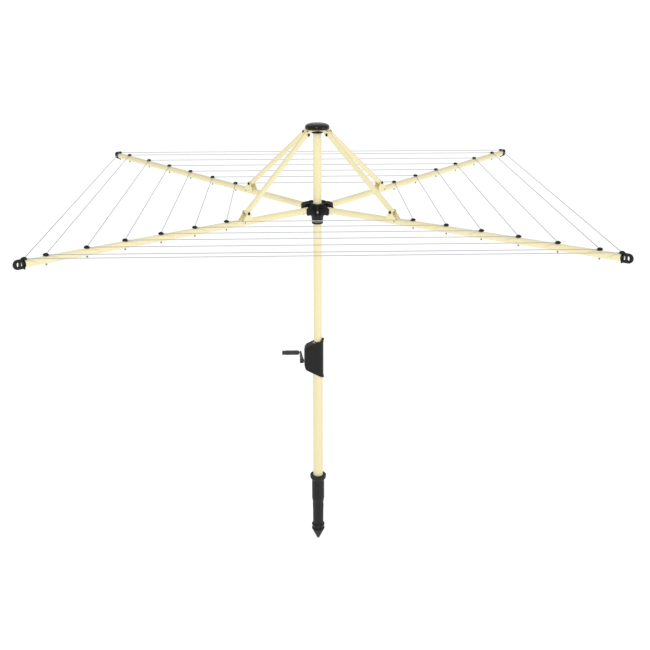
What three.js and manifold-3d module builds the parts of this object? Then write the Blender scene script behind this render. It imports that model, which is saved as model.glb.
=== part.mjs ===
// Rotary clothesline: a ground socket, a telescoping mast with a side winder, and a folding head of
// four arms, four struts and seven square lines.
// Millimetres, +Z up. The origin is on the mast axis, level with the ground.

import * as THREE from 'three';
import { mergeVertices } from 'three/addons/utils/BufferGeometryUtils.js';
import Module from 'manifold-3d';

const wasm = await Module();
wasm.setup();

// ---------------------------------------------------------------- driving dimensions

const gap = 0.3;                       // clearance between pieces that touch or run on each other

// lines
const squareSide = 2400;               // side of the outermost line
const tipRadius = squareSide / Math.SQRT2;
const innerLines = 6;                  // evenly spaced lines inside the outermost one
const lineSpacing = 194.2;             // from one line to the next, along the arms
const tipSpacing = 98.6;               // from the sixth line to the outermost one
const cordRadius = 1.6;
const lineHeight = 1568;               // height that the lines would reach at the mast axis
const armRise = 0.0399;                // how much an arm climbs for each unit outwards
const armTilt = Math.atan(armRise);
const lineRadii = [];
for (let i = 0; i < innerLines; i += 1) {
  lineRadii.push(tipRadius - tipSpacing - (innerLines - 1 - i) * lineSpacing);
}

// arms: in an arm's own frame x runs outwards from its pivot, y is sideways and z is up
const armCount = 4;
const firstArmAngle = Math.PI / 4;
const armRadius = 16;
const armBore = 14.4;
const cordAboveArm = 20;
const pivotRadius = 54;                // arm pivots, from the mast axis
const pivotHeight = lineHeight - cordAboveArm + armRise * pivotRadius;
const pinRadius = 4;
const toArm = (radius) => (radius - pivotRadius) / Math.cos(armTilt);
const tipOnArm = toArm(tipRadius);
const armEnd = tipOnArm + 0.5;

// struts
const strutRadius = 12.7;
const strutBore = 11.1;
const strutTop = { radius: 80, height: 1938 };
const strutFoot = { x: 446.6, z: 43.3 };  // in the arm's frame

// mast
const lowerMast = { radius: 27, bore: 24, bottom: -171.7, top: 811.7 };
const upperMast = { radius: 21.2, bore: 18.7, bottom: 360, top: 1951.5 };
const topBush = { bottom: 1938, top: 1950, radius: 32 };
const headSides = 20;
const headBore = 0.5 + upperMast.radius / Math.cos(Math.PI / headSides);

// ground socket
const socketDepth = 418;
const socketStep = lowerMast.bottom - gap;

// winder
const shaftHeight = 698;
const liftPerTurn = 12;                // of the crank
const wormRatio = 10;                  // turns of the worm for one turn of the lift gear
const gearRadius = liftPerTurn * wormRatio / (2 * Math.PI);
const wormRadius = 9.3;                // pitch radius of the worm on the crank shaft
const blankRelief = 0.4;               // the gear blanks stop this far inside their pitch circles
const gearHeight = shaftHeight + gearRadius + wormRadius;
const gearX = -42.3;
const crankThrow = 126;
const housingHalfDepth = 31;

// runner hub, at its height on the mast with the arms spread
const collarBottom = 1470;
const collarTop = 1486;
const cheekInner = armRadius + 0.4;
const cheekOuter = cheekInner + 4.4;
const bowl = { neckRadius: 30.5, neck: 1503, radius: 36, bottom: 1515, shoulder: 1568, top: 1577 };
const buttonHeight = 1537;

// head
const earInner = strutRadius + gap;
const earOuter = earInner + 3.5;
const crownRadius = 30;
const crownBottom = topBush.top + 0.4;
const mastCover = upperMast.top + 0.7;
const capRadius = 62.5;
const capRim = 1958;
const crownTop = capRim - gap;

// ---------------------------------------------------------------- materials

const finish = (color, roughness, metalness = 0) =>
  new THREE.MeshStandardMaterial({ color, roughness, metalness });

const cream = finish(0xf3ebc4, 0.42, 0.1);
const black = finish(0x2e2f31, 0.5);
const gloss = finish(0x1b1c1e, 0.22);
const grip = finish(0x3b3b3b, 0.6);
const steel = finish(0xb9bbbd, 0.35, 1);
const nylon = finish(0xc9c6bb, 0.55);
const cord = finish(0xa7a7a5, 0.6);

// ---------------------------------------------------------------- shapes

const full = Math.PI * 2;
const quarter = Math.PI / 2;

/** A profile of [radius, height] points turned about the Z axis. */
function turned(profile, segments = 16) {
  const points = profile.map(([radius, height]) => new THREE.Vector2(radius, height));
  return new THREE.LatheGeometry(points, segments).rotateX(quarter);
}

const rod = (radius, from, to, segments = 12) =>
  turned([[0, from], [radius, from], [radius, to], [0, to]], segments);

/** A faceted bore's corner radius, for which its flats are clear of a shaft of this radius. */
const bore = (radius, segments) => radius / Math.cos(Math.PI / segments);

/** The tool that cuts a hole with the usual clearance to a shaft of this radius. */
const hole = (radius, from, to, segments = 8) => rod(bore(radius + gap, segments), from, to, segments);

function tube(outer, inner, from, to, segments = 20) {
  const wall = bore(inner, segments);
  return turned([[wall, from], [outer, from], [outer, to], [wall, to], [wall, from]], segments);
}

/** Lays a shape that was made along Z along X, or along Y. */
const alongX = (geometry) => geometry.rotateY(quarter);
const alongY = (geometry) => geometry.rotateX(-quarter);

function block(x0, x1, y0, y1, z0, z1) {
  const box = new THREE.BoxGeometry(x1 - x0, y1 - y0, z1 - z0);
  return box.translate((x0 + x1) / 2, (y0 + y1) / 2, (z0 + z1) / 2);
}

function outline(points) {
  return new THREE.Shape(points.map(([x, z]) => new THREE.Vector2(x, z)));
}

/** An outline in the XZ plane, given a thickness along Y from y0 to y1. */
function slab(shape, y0, y1, curveSegments = 6) {
  const geometry = new THREE.ExtrudeGeometry(shape, {
    depth: y1 - y0, bevelEnabled: false, curveSegments,
  });
  return geometry.rotateX(quarter).translate(0, y1, 0);
}

/** An outline in the XY plane, given a height from z0 to z1. */
function prism(shape, z0, z1, curveSegments = 6) {
  const geometry = new THREE.ExtrudeGeometry(shape, {
    depth: z1 - z0, bevelEnabled: false, curveSegments,
  });
  return geometry.translate(0, 0, z0);
}

/** Turns a closed geometry into a solid that can be joined and cut. */
function solid(geometry) {
  const bare = geometry.clone();
  bare.deleteAttribute('normal');
  bare.deleteAttribute('uv');
  const merged = mergeVertices(bare, 1e-4);
  const vertProperties = Float32Array.from(merged.getAttribute('position').array);
  const index = merged.getIndex().array;
  const corner = (k) => new THREE.Vector3().fromArray(vertProperties, 3 * k);
  const triangles = [];
  let volume = 0;
  for (let i = 0; i < index.length; i += 3) {
    const [a, b, c] = [index[i], index[i + 1], index[i + 2]];
    if (a === b || b === c || c === a) continue;
    triangles.push([a, b, c]);
    volume += corner(a).dot(corner(b).cross(corner(c)));
  }
  const facing = volume < 0 ? triangles.map(([a, b, c]) => [a, c, b]) : triangles;
  const triVerts = Uint32Array.from(facing.flat());
  return new wasm.Manifold(new wasm.Mesh({ numProp: 3, vertProperties, triVerts }));
}

const joined = (...geometries) => geometries.map(solid).reduce((a, b) => a.add(b));

/** Cuts each geometry out of a solid. */
const cut = (body, ...geometries) =>
  geometries.reduce((rest, geometry) => rest.subtract(solid(geometry)), body);

function geometryOf(body) {
  const { numProp, vertProperties, triVerts } = body.getMesh();
  const positions = [];
  for (let i = 0; i < vertProperties.length; i += numProp) {
    positions.push(vertProperties[i], vertProperties[i + 1], vertProperties[i + 2]);
  }
  const geometry = new THREE.BufferGeometry();
  geometry.setAttribute('position', new THREE.Float32BufferAttribute(positions, 3));
  geometry.setIndex(Array.from(triVerts));
  geometry.computeVertexNormals();
  return geometry;
}

function piece(name, body, material) {
  const mesh = new THREE.Mesh(geometryOf(body), material);
  mesh.name = name;
  return mesh;
}

/** A square ring of cord with its corners over the arms. */
function squareRing(radius, height, thickness, sides = 8) {
  const profile = [];
  for (let i = 0; i <= sides; i += 1) {
    const angle = (i / sides) * full;
    // the section is wider across a corner, so that the straight runs keep the cord's thickness
    profile.push([
      radius + thickness * Math.SQRT2 * Math.cos(angle),
      height + thickness * Math.sin(angle),
    ]);
  }
  return turned(profile, armCount).rotateZ(firstArmAngle);
}

// ---------------------------------------------------------------- ground socket and mast

function groundSocket() {
  const sides = 24;
  const mouth = bore(lowerMast.radius + gap, sides);
  const profile = [
    [0, -socketDepth], [7, -socketDepth + 2], [28, -366], [37, -357], [37, -352], [31, -346],
    [37, -332], [37, -327], [30, -314], [30, -183], [35, -150], [35, -33], [45, -6], [45, 0],
    [mouth, 0], [mouth, socketStep], [18, socketStep], [18, -300], [0, -300],
  ];
  return piece('ground_socket', solid(turned(profile, sides)), black);
}

function mastPieces() {
  const gearWindow = block(-30, -20, -8, 8, gearHeight - 15, gearHeight + 15);
  const lower = cut(
    solid(tube(lowerMast.radius, lowerMast.bore, lowerMast.bottom, lowerMast.top)), gearWindow);
  const upper = solid(tube(upperMast.radius, upperMast.bore, upperMast.bottom, upperMast.top));

  const rack = solid(block(-23.1, -upperMast.radius - gap, -4, 4, gearHeight - 320, gearHeight + 16));

  const bushOuter = lowerMast.bore - gap;
  const bushInner = bore(upperMast.radius + gap, 16);
  const rackSlot = block(-25, -20, -4.6, 4.6, lowerMast.top - 30, lowerMast.top + 5);
  const guide = cut(
    solid(turned([
      [bushInner, lowerMast.top - 24], [bushOuter, lowerMast.top - 24],
      [bushOuter, lowerMast.top + gap], [lowerMast.radius, lowerMast.top + gap],
      [lowerMast.radius, lowerMast.top + 3.5], [bushInner, lowerMast.top + 3.5],
      [bushInner, lowerMast.top - 24],
    ])), rackSlot);
  const foot = solid(tube(bushOuter, upperMast.radius + gap, upperMast.bottom + 4, upperMast.bottom + 30));
  const { bottom, top, radius } = topBush;
  const headBush = solid(turned([
    [bushInner, bottom], [radius - 2, bottom], [radius, bottom + 2], [radius, top - 2],
    [radius - 2, top], [bushInner, top], [bushInner, bottom],
  ]));
  const collar = solid(turned([
    [bushInner, collarBottom], [28, collarBottom], [29.2, collarBottom + 2],
    [29.2, collarBottom + 7], [27.6, collarBottom + 8.5], [27.6, collarTop],
    [bushInner, collarTop], [bushInner, collarBottom],
  ]));

  return [
    piece('lower_mast', lower, cream),
    piece('upper_mast', upper, cream),
    piece('lift_rack', rack, steel),
    piece('mast_guide_bush', guide, black),
    piece('mast_foot_bush', foot, nylon),
    piece('mast_top_bush', headBush, black),
    piece('hub_stop_collar', collar, black),
  ];
}

// ---------------------------------------------------------------- winder

const housingSide = [
  [38, 829], [38, 603], [-60, 651], [-70, 663], [-74, 682], [-74, 766], [-70, 780], [-60, 791],
  [-27, 806],
];
const cavitySide = [
  [-22, 797], [-22, 643], [-56, 660], [-64, 668], [-70, 684], [-70, 764], [-64, 776], [-56, 783],
];
const housingScrews = [[-63, 765], [-34, 793], [-63, 681], [-34, 646]];
const screwRadius = 2;

/** The housing's outside: a box beside the mast, blended into a flared sleeve around it. */
function housingOutside() {
  const plan = new THREE.Shape();
  plan.moveTo(0, -housingHalfDepth);
  plan.lineTo(0, housingHalfDepth);
  plan.lineTo(-60, housingHalfDepth - 3);
  plan.absarc(-60, housingHalfDepth - 17, 14, quarter, Math.PI);
  plan.lineTo(-74, -housingHalfDepth + 17);
  plan.absarc(-60, -housingHalfDepth + 17, 14, Math.PI, 3 * quarter);
  const sleeve = turned([
    [0, 600], [36, 600], [34.5, 612], [housingHalfDepth, 628], [housingHalfDepth, 806],
    [34.5, 820], [36, 832], [0, 832],
  ], 20);
  return joined(prism(plan, 600, 832), sleeve).intersect(solid(slab(outline(housingSide), -40, 40)));
}

function winderPieces() {
  const outside = housingOutside();
  const shaftBoss = alongX(rod(13, -73, -60)).translate(0, 0, shaftHeight);
  const pillars = housingScrews.map(([x, z]) => alongY(rod(6, -29, 29, 8)).translate(x, 0, z));
  const pinBoss = alongY(rod(7.5, -29, 29, 8)).translate(gearX, 0, gearHeight);
  const pinGap = block(-75, -15, -16, 16, 600, 832);
  const cavity = solid(slab(outline(cavitySide), -24, 24));
  const kept = joined(shaftBoss, ...pillars).add(cut(solid(pinBoss), pinGap));
  const shell = outside.subtract(cavity.subtract(kept));
  const opened = cut(
    shell,
    hole(lowerMast.radius, 590, 840, 20),
    alongX(hole(7, -80, -50, 16)).translate(0, 0, shaftHeight),
    alongY(hole(4, -26.6, 26.6)).translate(gearX, 0, gearHeight),
    ...housingScrews.map(([x, z]) => alongY(hole(screwRadius, -24, 40)).translate(x, 0, z)),
    ...housingScrews.map(([x, z]) => alongY(hole(4.2, 24, 40)).translate(x, 0, z)),
  );
  const front = cut(opened, block(-80, 45, -gap / 2, 45, 590, 840));
  const back = cut(opened, block(-80, 45, -45, gap / 2, 590, 840));

  const screws = housingScrews.map(([x, z], i) => {
    const screw = alongY(turned([
      [0, -20], [screwRadius, -18], [screwRadius, 24 + gap], [4, 24 + gap], [4, 26], [0, 27],
    ], 8));
    return piece(`winder_screw_${i + 1}`, solid(screw.translate(x, 0, z)), steel);
  });

  const gear = tube(gearRadius - blankRelief, 4 + gap, -6, 6);
  const gearPin = rod(4, -26.3, 26.3, 8);
  return [
    piece('winder_housing_front', front, black),
    piece('winder_housing_back', back, black),
    ...screws,
    piece('lift_gear', solid(alongY(gear).translate(gearX, 0, gearHeight)), steel),
    piece('gear_pin', solid(alongY(gearPin).translate(gearX, 0, gearHeight)), steel),
  ];
}

function crankPieces() {
  const shaft = alongX(turned([
    [0, -97], [5, -97], [5, -76], [7, -75], [7, -58], [wormRadius - blankRelief, -57],
    [wormRadius - blankRelief, -31], [5, -30], [0, -30],
  ], 16)).translate(0, 0, shaftHeight);

  const plateOutline = new THREE.Shape();
  plateOutline.absarc(0, 0, 13, quarter, 3 * quarter);
  plateOutline.absarc(crankThrow, 0, 11, -quarter, quarter);
  // drawn along X, then turned to lie along Y
  const plate = slab(plateOutline, 0, 8).rotateZ(quarter).translate(-90, 0, shaftHeight);
  const boss = alongX(rod(12, -90.5, -76.3)).translate(0, 0, shaftHeight);
  const arm = cut(
    joined(plate, boss),
    alongX(hole(5, -99, -70, 16)).translate(0, 0, shaftHeight),
    alongX(hole(5, -99, -80, 16)).translate(0, crankThrow, shaftHeight),
  );

  const pin = alongX(turned([
    [0, -195.5], [6, -195.5], [8, -193.5], [8, -191], [5, -191], [5, -89], [7.5, -89], [7.5, -86.5],
    [0, -86.5],
  ], 16)).translate(0, crankThrow, shaftHeight);
  const pinHole = bore(5 + gap, 16);
  const headHole = bore(8 + gap, 16);
  const gripBody = alongX(turned([
    [pinHole, -100.3], [8, -100.3], [11.5, -103], [13, -109], [13, -178], [10.8, -180.5],
    [10.8, -183], [12.8, -186], [12, -193], [headHole, -195.5], [headHole, -190.5],
    [pinHole, -190.5], [pinHole, -100.3],
  ])).translate(0, crankThrow, shaftHeight);

  return [
    piece('crank_shaft', solid(shaft), steel),
    piece('crank_arm', arm, gloss),
    piece('grip_pin', solid(pin), steel),
    piece('crank_grip', solid(gripBody), grip),
  ];
}

// ---------------------------------------------------------------- runner hub and head

const aroundMast = (i) => firstArmAngle + i * quarter;

function cheeks() {
  const shape = outline([
    [28, -36], [46, -33], [62, -20], [74, -22], [92, -22], [97, -17], [98, -10], [98, 12],
    [94, 18], [58, 32], [50, 31], [40, 26], [28, 24],
  ]);
  return [slab(shape, cheekInner, cheekOuter), slab(shape, -cheekOuter, -cheekInner)]
    .map((cheek) => cheek.translate(0, 0, pivotHeight));
}

function runnerPieces() {
  const body = turned([
    [headBore, collarTop + gap], [29, collarTop + gap], [bowl.neckRadius, bowl.neck],
    [bowl.radius, bowl.bottom], [bowl.radius, bowl.shoulder], [bowl.radius - 4, bowl.top],
    [headBore, bowl.top], [headBore, collarTop + gap],
  ], headSides);
  const clevises = [];
  const holes = [];
  for (let i = 0; i < armCount; i += 1) {
    clevises.push(...cheeks().map((cheek) => cheek.rotateZ(aroundMast(i))));
    const pinHole = alongY(hole(pinRadius, -30, 30)).translate(pivotRadius, 0, pivotHeight);
    holes.push(pinHole.rotateZ(aroundMast(i)));
  }
  const buttonBore = alongY(hole(6, -45, -28, 12)).translate(0, 0, buttonHeight);
  const hub = cut(joined(body, ...clevises), ...holes, buttonBore);

  const pins = holes.map((_, i) => {
    const pin = alongY(turned([
      [0, -cheekOuter - 3.3], [6, -cheekOuter - 2.6], [7, -cheekOuter - gap],
      [pinRadius, -cheekOuter - gap], [pinRadius, cheekOuter + gap], [7, cheekOuter + gap],
      [6, cheekOuter + 2.6], [0, cheekOuter + 3.3],
    ], 8)).translate(pivotRadius, 0, pivotHeight).rotateZ(aroundMast(i));
    return piece(`arm_pivot_pin_${i + 1}`, solid(pin), black);
  });
  const button = alongY(turned([
    [0, -41], [5, -40.4], [6, -39], [6, -34], [0, -34],
  ], 16)).translate(0, 0, buttonHeight);
  return [
    piece('runner_hub', hub, black),
    piece('hub_latch_button', solid(button), gloss),
    ...pins,
  ];
}

function headPieces() {
  // an ear runs out from the crown and turns down to the strut's pivot; the arc's ends are tangent
  const earRoot = 22;
  const ear = new THREE.Shape();
  ear.moveTo(earRoot, crownBottom + 0.2);
  ear.lineTo(58, crownBottom + 0.2);
  ear.absarc(strutTop.radius, strutTop.height, 11, -2.53, 0.93);
  ear.lineTo(72, crownTop - 0.2);
  ear.lineTo(earRoot, crownTop - 0.2);
  const crown = turned([
    [headBore, crownBottom], [crownRadius, crownBottom], [crownRadius, crownTop], [0, crownTop],
    [0, mastCover], [headBore, mastCover], [headBore, crownBottom],
  ], headSides);
  const parts = [crown];
  const holes = [];
  const bolts = [];
  for (let i = 0; i < armCount; i += 1) {
    // the bolt's head is on the ear that faces the front of the clothesline
    const side = Math.cos(aroundMast(i)) < 0 ? 1 : -1;
    const at = (geometry) => geometry
      .translate(strutTop.radius, 0, strutTop.height).rotateZ(aroundMast(i));
    parts.push(slab(ear, earInner, earOuter).rotateZ(aroundMast(i)));
    parts.push(slab(ear, -earOuter, -earInner).rotateZ(aroundMast(i)));
    parts.push(at(alongY(turned([
      [0, earOuter - 1], [6.5, earOuter - 1], [6.5, earOuter + 4], [0, earOuter + 4],
    ], 6)).rotateZ(side > 0 ? Math.PI : 0)));
    holes.push(at(alongY(hole(pinRadius, side > 0 ? 0 : -30, side > 0 ? 30 : 0))));
    bolts.push(piece(`strut_top_bolt_${i + 1}`, solid(at(alongY(turned([
      [0, earInner], [pinRadius, earInner], [pinRadius, earOuter + gap], [7.5, earOuter + gap],
      [7.5, earOuter + 3], [5, earOuter + 5], [0, earOuter + 5.4],
    ], 8)).rotateZ(side > 0 ? 0 : Math.PI))), black));
  }
  const casting = cut(joined(...parts), ...holes);
  const cap = turned([
    [0, capRim + 2], [54, capRim + 2], [57, capRim], [61, capRim], [capRadius, capRim + 3],
    [capRadius, capRim + 11], [60, capRim + 17], [52, capRim + 23], [40, capRim + 27.5],
    [20, capRim + 29.6], [0, capRim + 30],
  ], 28);
  return [
    piece('top_casting', casting, cream),
    piece('head_cap', solid(cap), gloss),
    ...bolts,
  ];
}

// ---------------------------------------------------------------- arms and struts

/** A group that holds pieces in an arm's own frame. */
function armFrame(i) {
  const arm = new THREE.Group();
  arm.rotation.y = -armTilt;
  arm.position.set(pivotRadius, 0, pivotHeight);
  const around = new THREE.Group();
  around.rotation.z = aroundMast(i);
  around.add(arm);
  return { around, arm };
}

/** The lines' paths through an arm, in its own frame, a little wider than the cord. */
function linePaths() {
  const thickness = (cordRadius + gap) * Math.SQRT2;
  return [...lineRadii, tipRadius].map((radius) =>
    squareRing(radius, lineHeight + armRise * radius, thickness, 4)
      .rotateZ(-aroundMast(0))
      .translate(-pivotRadius, 0, -pivotHeight)
      .rotateY(armTilt));
}

/** A line holder's knob, and the tip of its stem below the arm. */
const knob = (x) => turned([
  [0, 12], [13, 19], [13, 21], [6, 27], [0, 27],
], 6).translate(x, 0, 0);
const stem = (x, from) => turned([[0, -24], [4, -22], [4, from], [0, from]], 4).translate(x, 0, 0);

function armTube(paths) {
  const profile = new THREE.Shape();
  profile.moveTo(armEnd + 1, -armRadius - 1);
  profile.lineTo(armEnd + 1, armRadius + 1);
  profile.lineTo(0, armRadius + 1);
  profile.absarc(0, 0, armRadius, quarter, 3 * quarter);
  const whole = solid(alongX(tube(armRadius, armBore, -armRadius - 1, armEnd, 14)));
  const rounded = whole.intersect(solid(slab(profile, -20, 20)));
  const holders = joined(...lineRadii.flatMap((radius) => {
    const x = toArm(radius);
    return [knob(x), stem(x, -15)];
  }));
  return cut(rounded.add(holders), alongY(hole(pinRadius, -30, 30)), ...paths.slice(0, -1));
}

/** A plug in the arm's open end, with a loop for hangers and the outermost line's holder. */
function endCap(paths) {
  const from = armEnd + gap;
  const end = tipOnArm + 50;
  const half = 20.5;
  const loop = new THREE.Shape();
  loop.moveTo(from, -half);
  loop.lineTo(end - half, -half);
  loop.absarc(end - half, 0, half, -quarter, quarter);
  loop.lineTo(from, half);
  for (const centre of [end - 20.6, end - 39.4]) {
    const slot = new THREE.Path();
    slot.absarc(centre, 4.25, 5.25, 0, Math.PI);
    slot.absarc(centre, -4.25, 5.25, Math.PI, full);
    loop.holes.push(slot);
  }
  const flange = alongX(rod(armRadius + 0.5, from, from + 2.5, 16));
  const holder = cut(
    joined(knob(tipOnArm), stem(tipOnArm, -15)),
    alongX(hole(armRadius, tipOnArm - 20, from, 16)),
  );
  const plug = alongX(rod(armBore - gap, tipOnArm - 16, from + 1, 14));
  return cut(joined(slab(loop, -4, 4, 4), flange, plug).add(holder), paths[paths.length - 1]);
}

function strutBracket() {
  const inner = armRadius + gap;
  const outer = inner + 2;
  const ear = new THREE.Shape();
  ear.moveTo(strutFoot.x - 26, -4);
  ear.lineTo(strutFoot.x + 34, -4);
  ear.lineTo(strutFoot.x + 34, 12);
  ear.absarc(strutFoot.x, strutFoot.z, 12, -0.25, Math.PI);
  ear.lineTo(strutFoot.x - 26, outer);
  const saddle = block(strutFoot.x - 26, strutFoot.x + 34, -outer, outer, inner, outer);
  const rivetOut = [inner + 1, outer + 1.5];
  const rivets = [1, -1].map((side) => {
    const rivet = alongY(rod(4, ...rivetOut, 10)).rotateZ(side > 0 ? 0 : Math.PI);
    return rivet.translate(strutFoot.x + 24, 0, 2);
  });
  const body = joined(slab(ear, inner, outer), slab(ear, -outer, -inner), saddle, ...rivets);
  return cut(body, alongY(hole(pinRadius, -30, 30)).translate(strutFoot.x, 0, strutFoot.z));
}

function footBolt() {
  const inner = armRadius;
  const outer = armRadius + gap + 2;
  const half = [
    [pinRadius, earInner], [7, earInner], [7, inner], [pinRadius, inner],
    [pinRadius, outer + gap], [7.5, outer + gap], [7.5, outer + 2.8], [0, outer + 5],
  ];
  const mirrored = half.map(([radius, height]) => [radius, -height]).reverse();
  return alongY(turned([...mirrored, ...half], 8)).translate(strutFoot.x, 0, strutFoot.z);
}

/** Where the strut's foot is with the arms spread, in the plane of radius and height. */
function strutFootSpread() {
  return {
    radius: pivotRadius + strutFoot.x * Math.cos(armTilt) - strutFoot.z * Math.sin(armTilt),
    height: pivotHeight + strutFoot.x * Math.sin(armTilt) + strutFoot.z * Math.cos(armTilt),
  };
}

function strutTube(length) {
  const profile = new THREE.Shape();
  profile.absarc(0, 0, strutRadius, quarter, 3 * quarter);
  profile.absarc(length, 0, strutRadius, -quarter, quarter);
  const whole = solid(alongX(tube(strutRadius, strutBore, -strutRadius - 1, length + strutRadius + 1, 12)));
  const holes = [0, length].map((x) => alongY(hole(pinRadius, -20, 20)).translate(x, 0, 0));
  return cut(whole.intersect(solid(slab(profile, -20, 20, 4))), ...holes);
}

/** One arm with its end cap, its strut bracket and bolt, and the strut from there up to the head. */
function armAssembly(i, shapes) {
  const { around, arm } = armFrame(i);
  arm.add(piece(`arm_${i + 1}`, shapes.arm, cream));
  arm.add(piece(`arm_end_cap_${i + 1}`, shapes.cap, black));
  arm.add(piece(`strut_bracket_${i + 1}`, shapes.bracket, cream));
  arm.add(piece(`strut_foot_bolt_${i + 1}`, shapes.bolt, black));

  const foot = strutFootSpread();
  const strut = piece(`strut_${i + 1}`, shapes.strut, cream);
  strut.position.set(foot.radius, 0, foot.height);
  strut.rotation.y = -Math.atan2(strutTop.height - foot.height, strutTop.radius - foot.radius);
  around.add(strut);
  return around;
}

// ---------------------------------------------------------------- the whole clothesline

const group = new THREE.Group();
group.add(groundSocket(), ...mastPieces(), ...winderPieces(), ...crankPieces());
group.add(...runnerPieces(), ...headPieces());

const foot = strutFootSpread();
const strutLength = Math.hypot(strutTop.radius - foot.radius, strutTop.height - foot.height);
const paths = linePaths();
const shapes = {
  arm: armTube(paths),
  cap: endCap(paths),
  bracket: strutBracket(),
  bolt: solid(footBolt()),
  strut: strutTube(strutLength),
};
for (let i = 0; i < armCount; i += 1) {
  group.add(armAssembly(i, shapes));
}

[...lineRadii, tipRadius].forEach((radius, i) => {
  const ring = squareRing(radius, lineHeight + armRise * radius, cordRadius);
  group.add(piece(`line_${i + 1}`, solid(ring), cord));
});

export default group;
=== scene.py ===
"""Rotary clothesline: the fine meshes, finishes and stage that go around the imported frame.

Outlines and profiles are in millimetres, and the finished meshes are in metres.
"""

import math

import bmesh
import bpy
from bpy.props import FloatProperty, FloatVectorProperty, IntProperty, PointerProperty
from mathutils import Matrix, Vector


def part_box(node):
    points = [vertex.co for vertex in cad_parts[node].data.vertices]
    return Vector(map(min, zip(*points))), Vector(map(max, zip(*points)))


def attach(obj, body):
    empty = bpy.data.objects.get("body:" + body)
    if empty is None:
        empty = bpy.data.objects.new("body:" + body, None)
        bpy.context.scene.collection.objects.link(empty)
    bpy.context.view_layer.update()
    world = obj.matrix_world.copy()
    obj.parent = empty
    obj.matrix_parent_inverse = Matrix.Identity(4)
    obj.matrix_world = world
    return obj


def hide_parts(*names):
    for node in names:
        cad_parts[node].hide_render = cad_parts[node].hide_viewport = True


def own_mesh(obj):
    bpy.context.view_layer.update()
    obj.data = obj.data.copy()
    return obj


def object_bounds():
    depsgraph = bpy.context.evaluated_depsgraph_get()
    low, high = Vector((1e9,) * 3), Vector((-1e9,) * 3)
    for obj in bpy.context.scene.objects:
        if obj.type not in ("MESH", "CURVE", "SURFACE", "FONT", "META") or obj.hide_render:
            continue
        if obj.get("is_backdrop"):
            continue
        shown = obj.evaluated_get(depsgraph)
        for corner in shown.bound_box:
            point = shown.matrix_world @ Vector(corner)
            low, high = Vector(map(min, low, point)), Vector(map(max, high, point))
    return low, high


bl_info = {
    "name": "Rotary Clothesline",
    "version": (1, 0, 0),
    "blender": (4, 5, 0),
    "location": "3D View > Sidebar > Clothesline",
    "description": "Builds a four-armed rotary clothesline around its frame",
    "category": "Add Mesh",
}

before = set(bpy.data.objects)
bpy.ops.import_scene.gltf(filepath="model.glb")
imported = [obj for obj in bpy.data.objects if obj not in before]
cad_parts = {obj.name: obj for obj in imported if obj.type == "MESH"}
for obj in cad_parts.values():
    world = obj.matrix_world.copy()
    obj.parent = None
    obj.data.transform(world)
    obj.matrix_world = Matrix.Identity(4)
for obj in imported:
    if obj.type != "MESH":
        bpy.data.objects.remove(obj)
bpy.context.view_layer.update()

# ---------------------------------------------------------------- places taken from the frame

MM = 0.001
ALONG_X = Matrix.Rotation(math.radians(90), 4, "Y")
ALONG_Y = Matrix.Rotation(math.radians(-90), 4, "X")
ARM_COUNT = 4
LINE_COUNT = 7


def corners(node):
    """A node's lowest and highest corner, in millimetres."""
    low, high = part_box(node)
    return low / MM, high / MM


def centre(node):
    low, high = corners(node)
    return (low + high) / 2


def line_place(number):
    """The radius of a square line's corners, its height and its cord's radius."""
    low, high = corners(f"line_{number}")
    cord = (high.z - low.z) / 2
    return ((high.x - low.x) / 2 - cord) * math.sqrt(2), (high.z + low.z) / 2, cord


LINES = [line_place(number + 1) for number in range(LINE_COUNT)]
TIP_RADIUS, TIP_HEIGHT, CORD_RADIUS = LINES[-1]
ARM_TILT = math.atan((TIP_HEIGHT - LINES[0][1]) / (TIP_RADIUS - LINES[0][0]))

PIVOT = centre("arm_pivot_pin_1")
PIVOT_RADIUS = math.hypot(PIVOT.x, PIVOT.y)
PIVOT_HEIGHT = PIVOT.z

SOCKET_LOW, SOCKET_HIGH = corners("ground_socket")
LOWER_LOW, LOWER_HIGH = corners("lower_mast")
UPPER_LOW, UPPER_HIGH = corners("upper_mast")
CAP_LOW, CAP_HIGH = corners("head_cap")
COLLAR_LOW, COLLAR_HIGH = corners("hub_stop_collar")
BUSH_LOW, BUSH_HIGH = corners("mast_top_bush")
BUTTON_HEIGHT = centre("hub_latch_button").z
SHAFT_HEIGHT = centre("crank_shaft").z
GRIP_OFFSET = centre("crank_grip").y
CRANK_LOW, CRANK_HIGH = corners("crank_arm")
GRIP_LOW, GRIP_HIGH = corners("crank_grip")
GEAR = centre("lift_gear")
BOWL_TOP = 1577  # the height of the runner hub's upper rim
CORD_FACES = 8


def arm_angle(index):
    return math.radians(45 + 90 * index)


def around(index):
    return Matrix.Rotation(arm_angle(index), 4, "Z")


def arm_frame(index):
    """An arm's own frame: X runs outwards from its pivot, Y is sideways and Z is up."""
    out = Matrix.Translation((PIVOT_RADIUS, 0, PIVOT_HEIGHT))
    return around(index) @ out @ Matrix.Rotation(-ARM_TILT, 4, "Y")


def on_arm(radius):
    return (radius - PIVOT_RADIUS) / math.cos(ARM_TILT)


TIP_ON_ARM = on_arm(TIP_RADIUS)
FOOT = arm_frame(0).inverted() @ centre("strut_foot_bolt_1")
OUTWARD = Vector((math.cos(arm_angle(0)), math.sin(arm_angle(0)), 0))
TOP_BOLT = centre("strut_top_bolt_1")
STRUT_TOP = Vector((TOP_BOLT.dot(OUTWARD), 0, TOP_BOLT.z))


# ---------------------------------------------------------------- settings


def tint(red, green, blue):
    """A screen colour, from 0 to 255, as Blender's linear colour."""
    def linear(value):
        share = value / 255
        return share / 12.92 if share <= 0.04045 else ((share + 0.055) / 1.055) ** 2.4
    return linear(red), linear(green), linear(blue), 1.0


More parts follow.
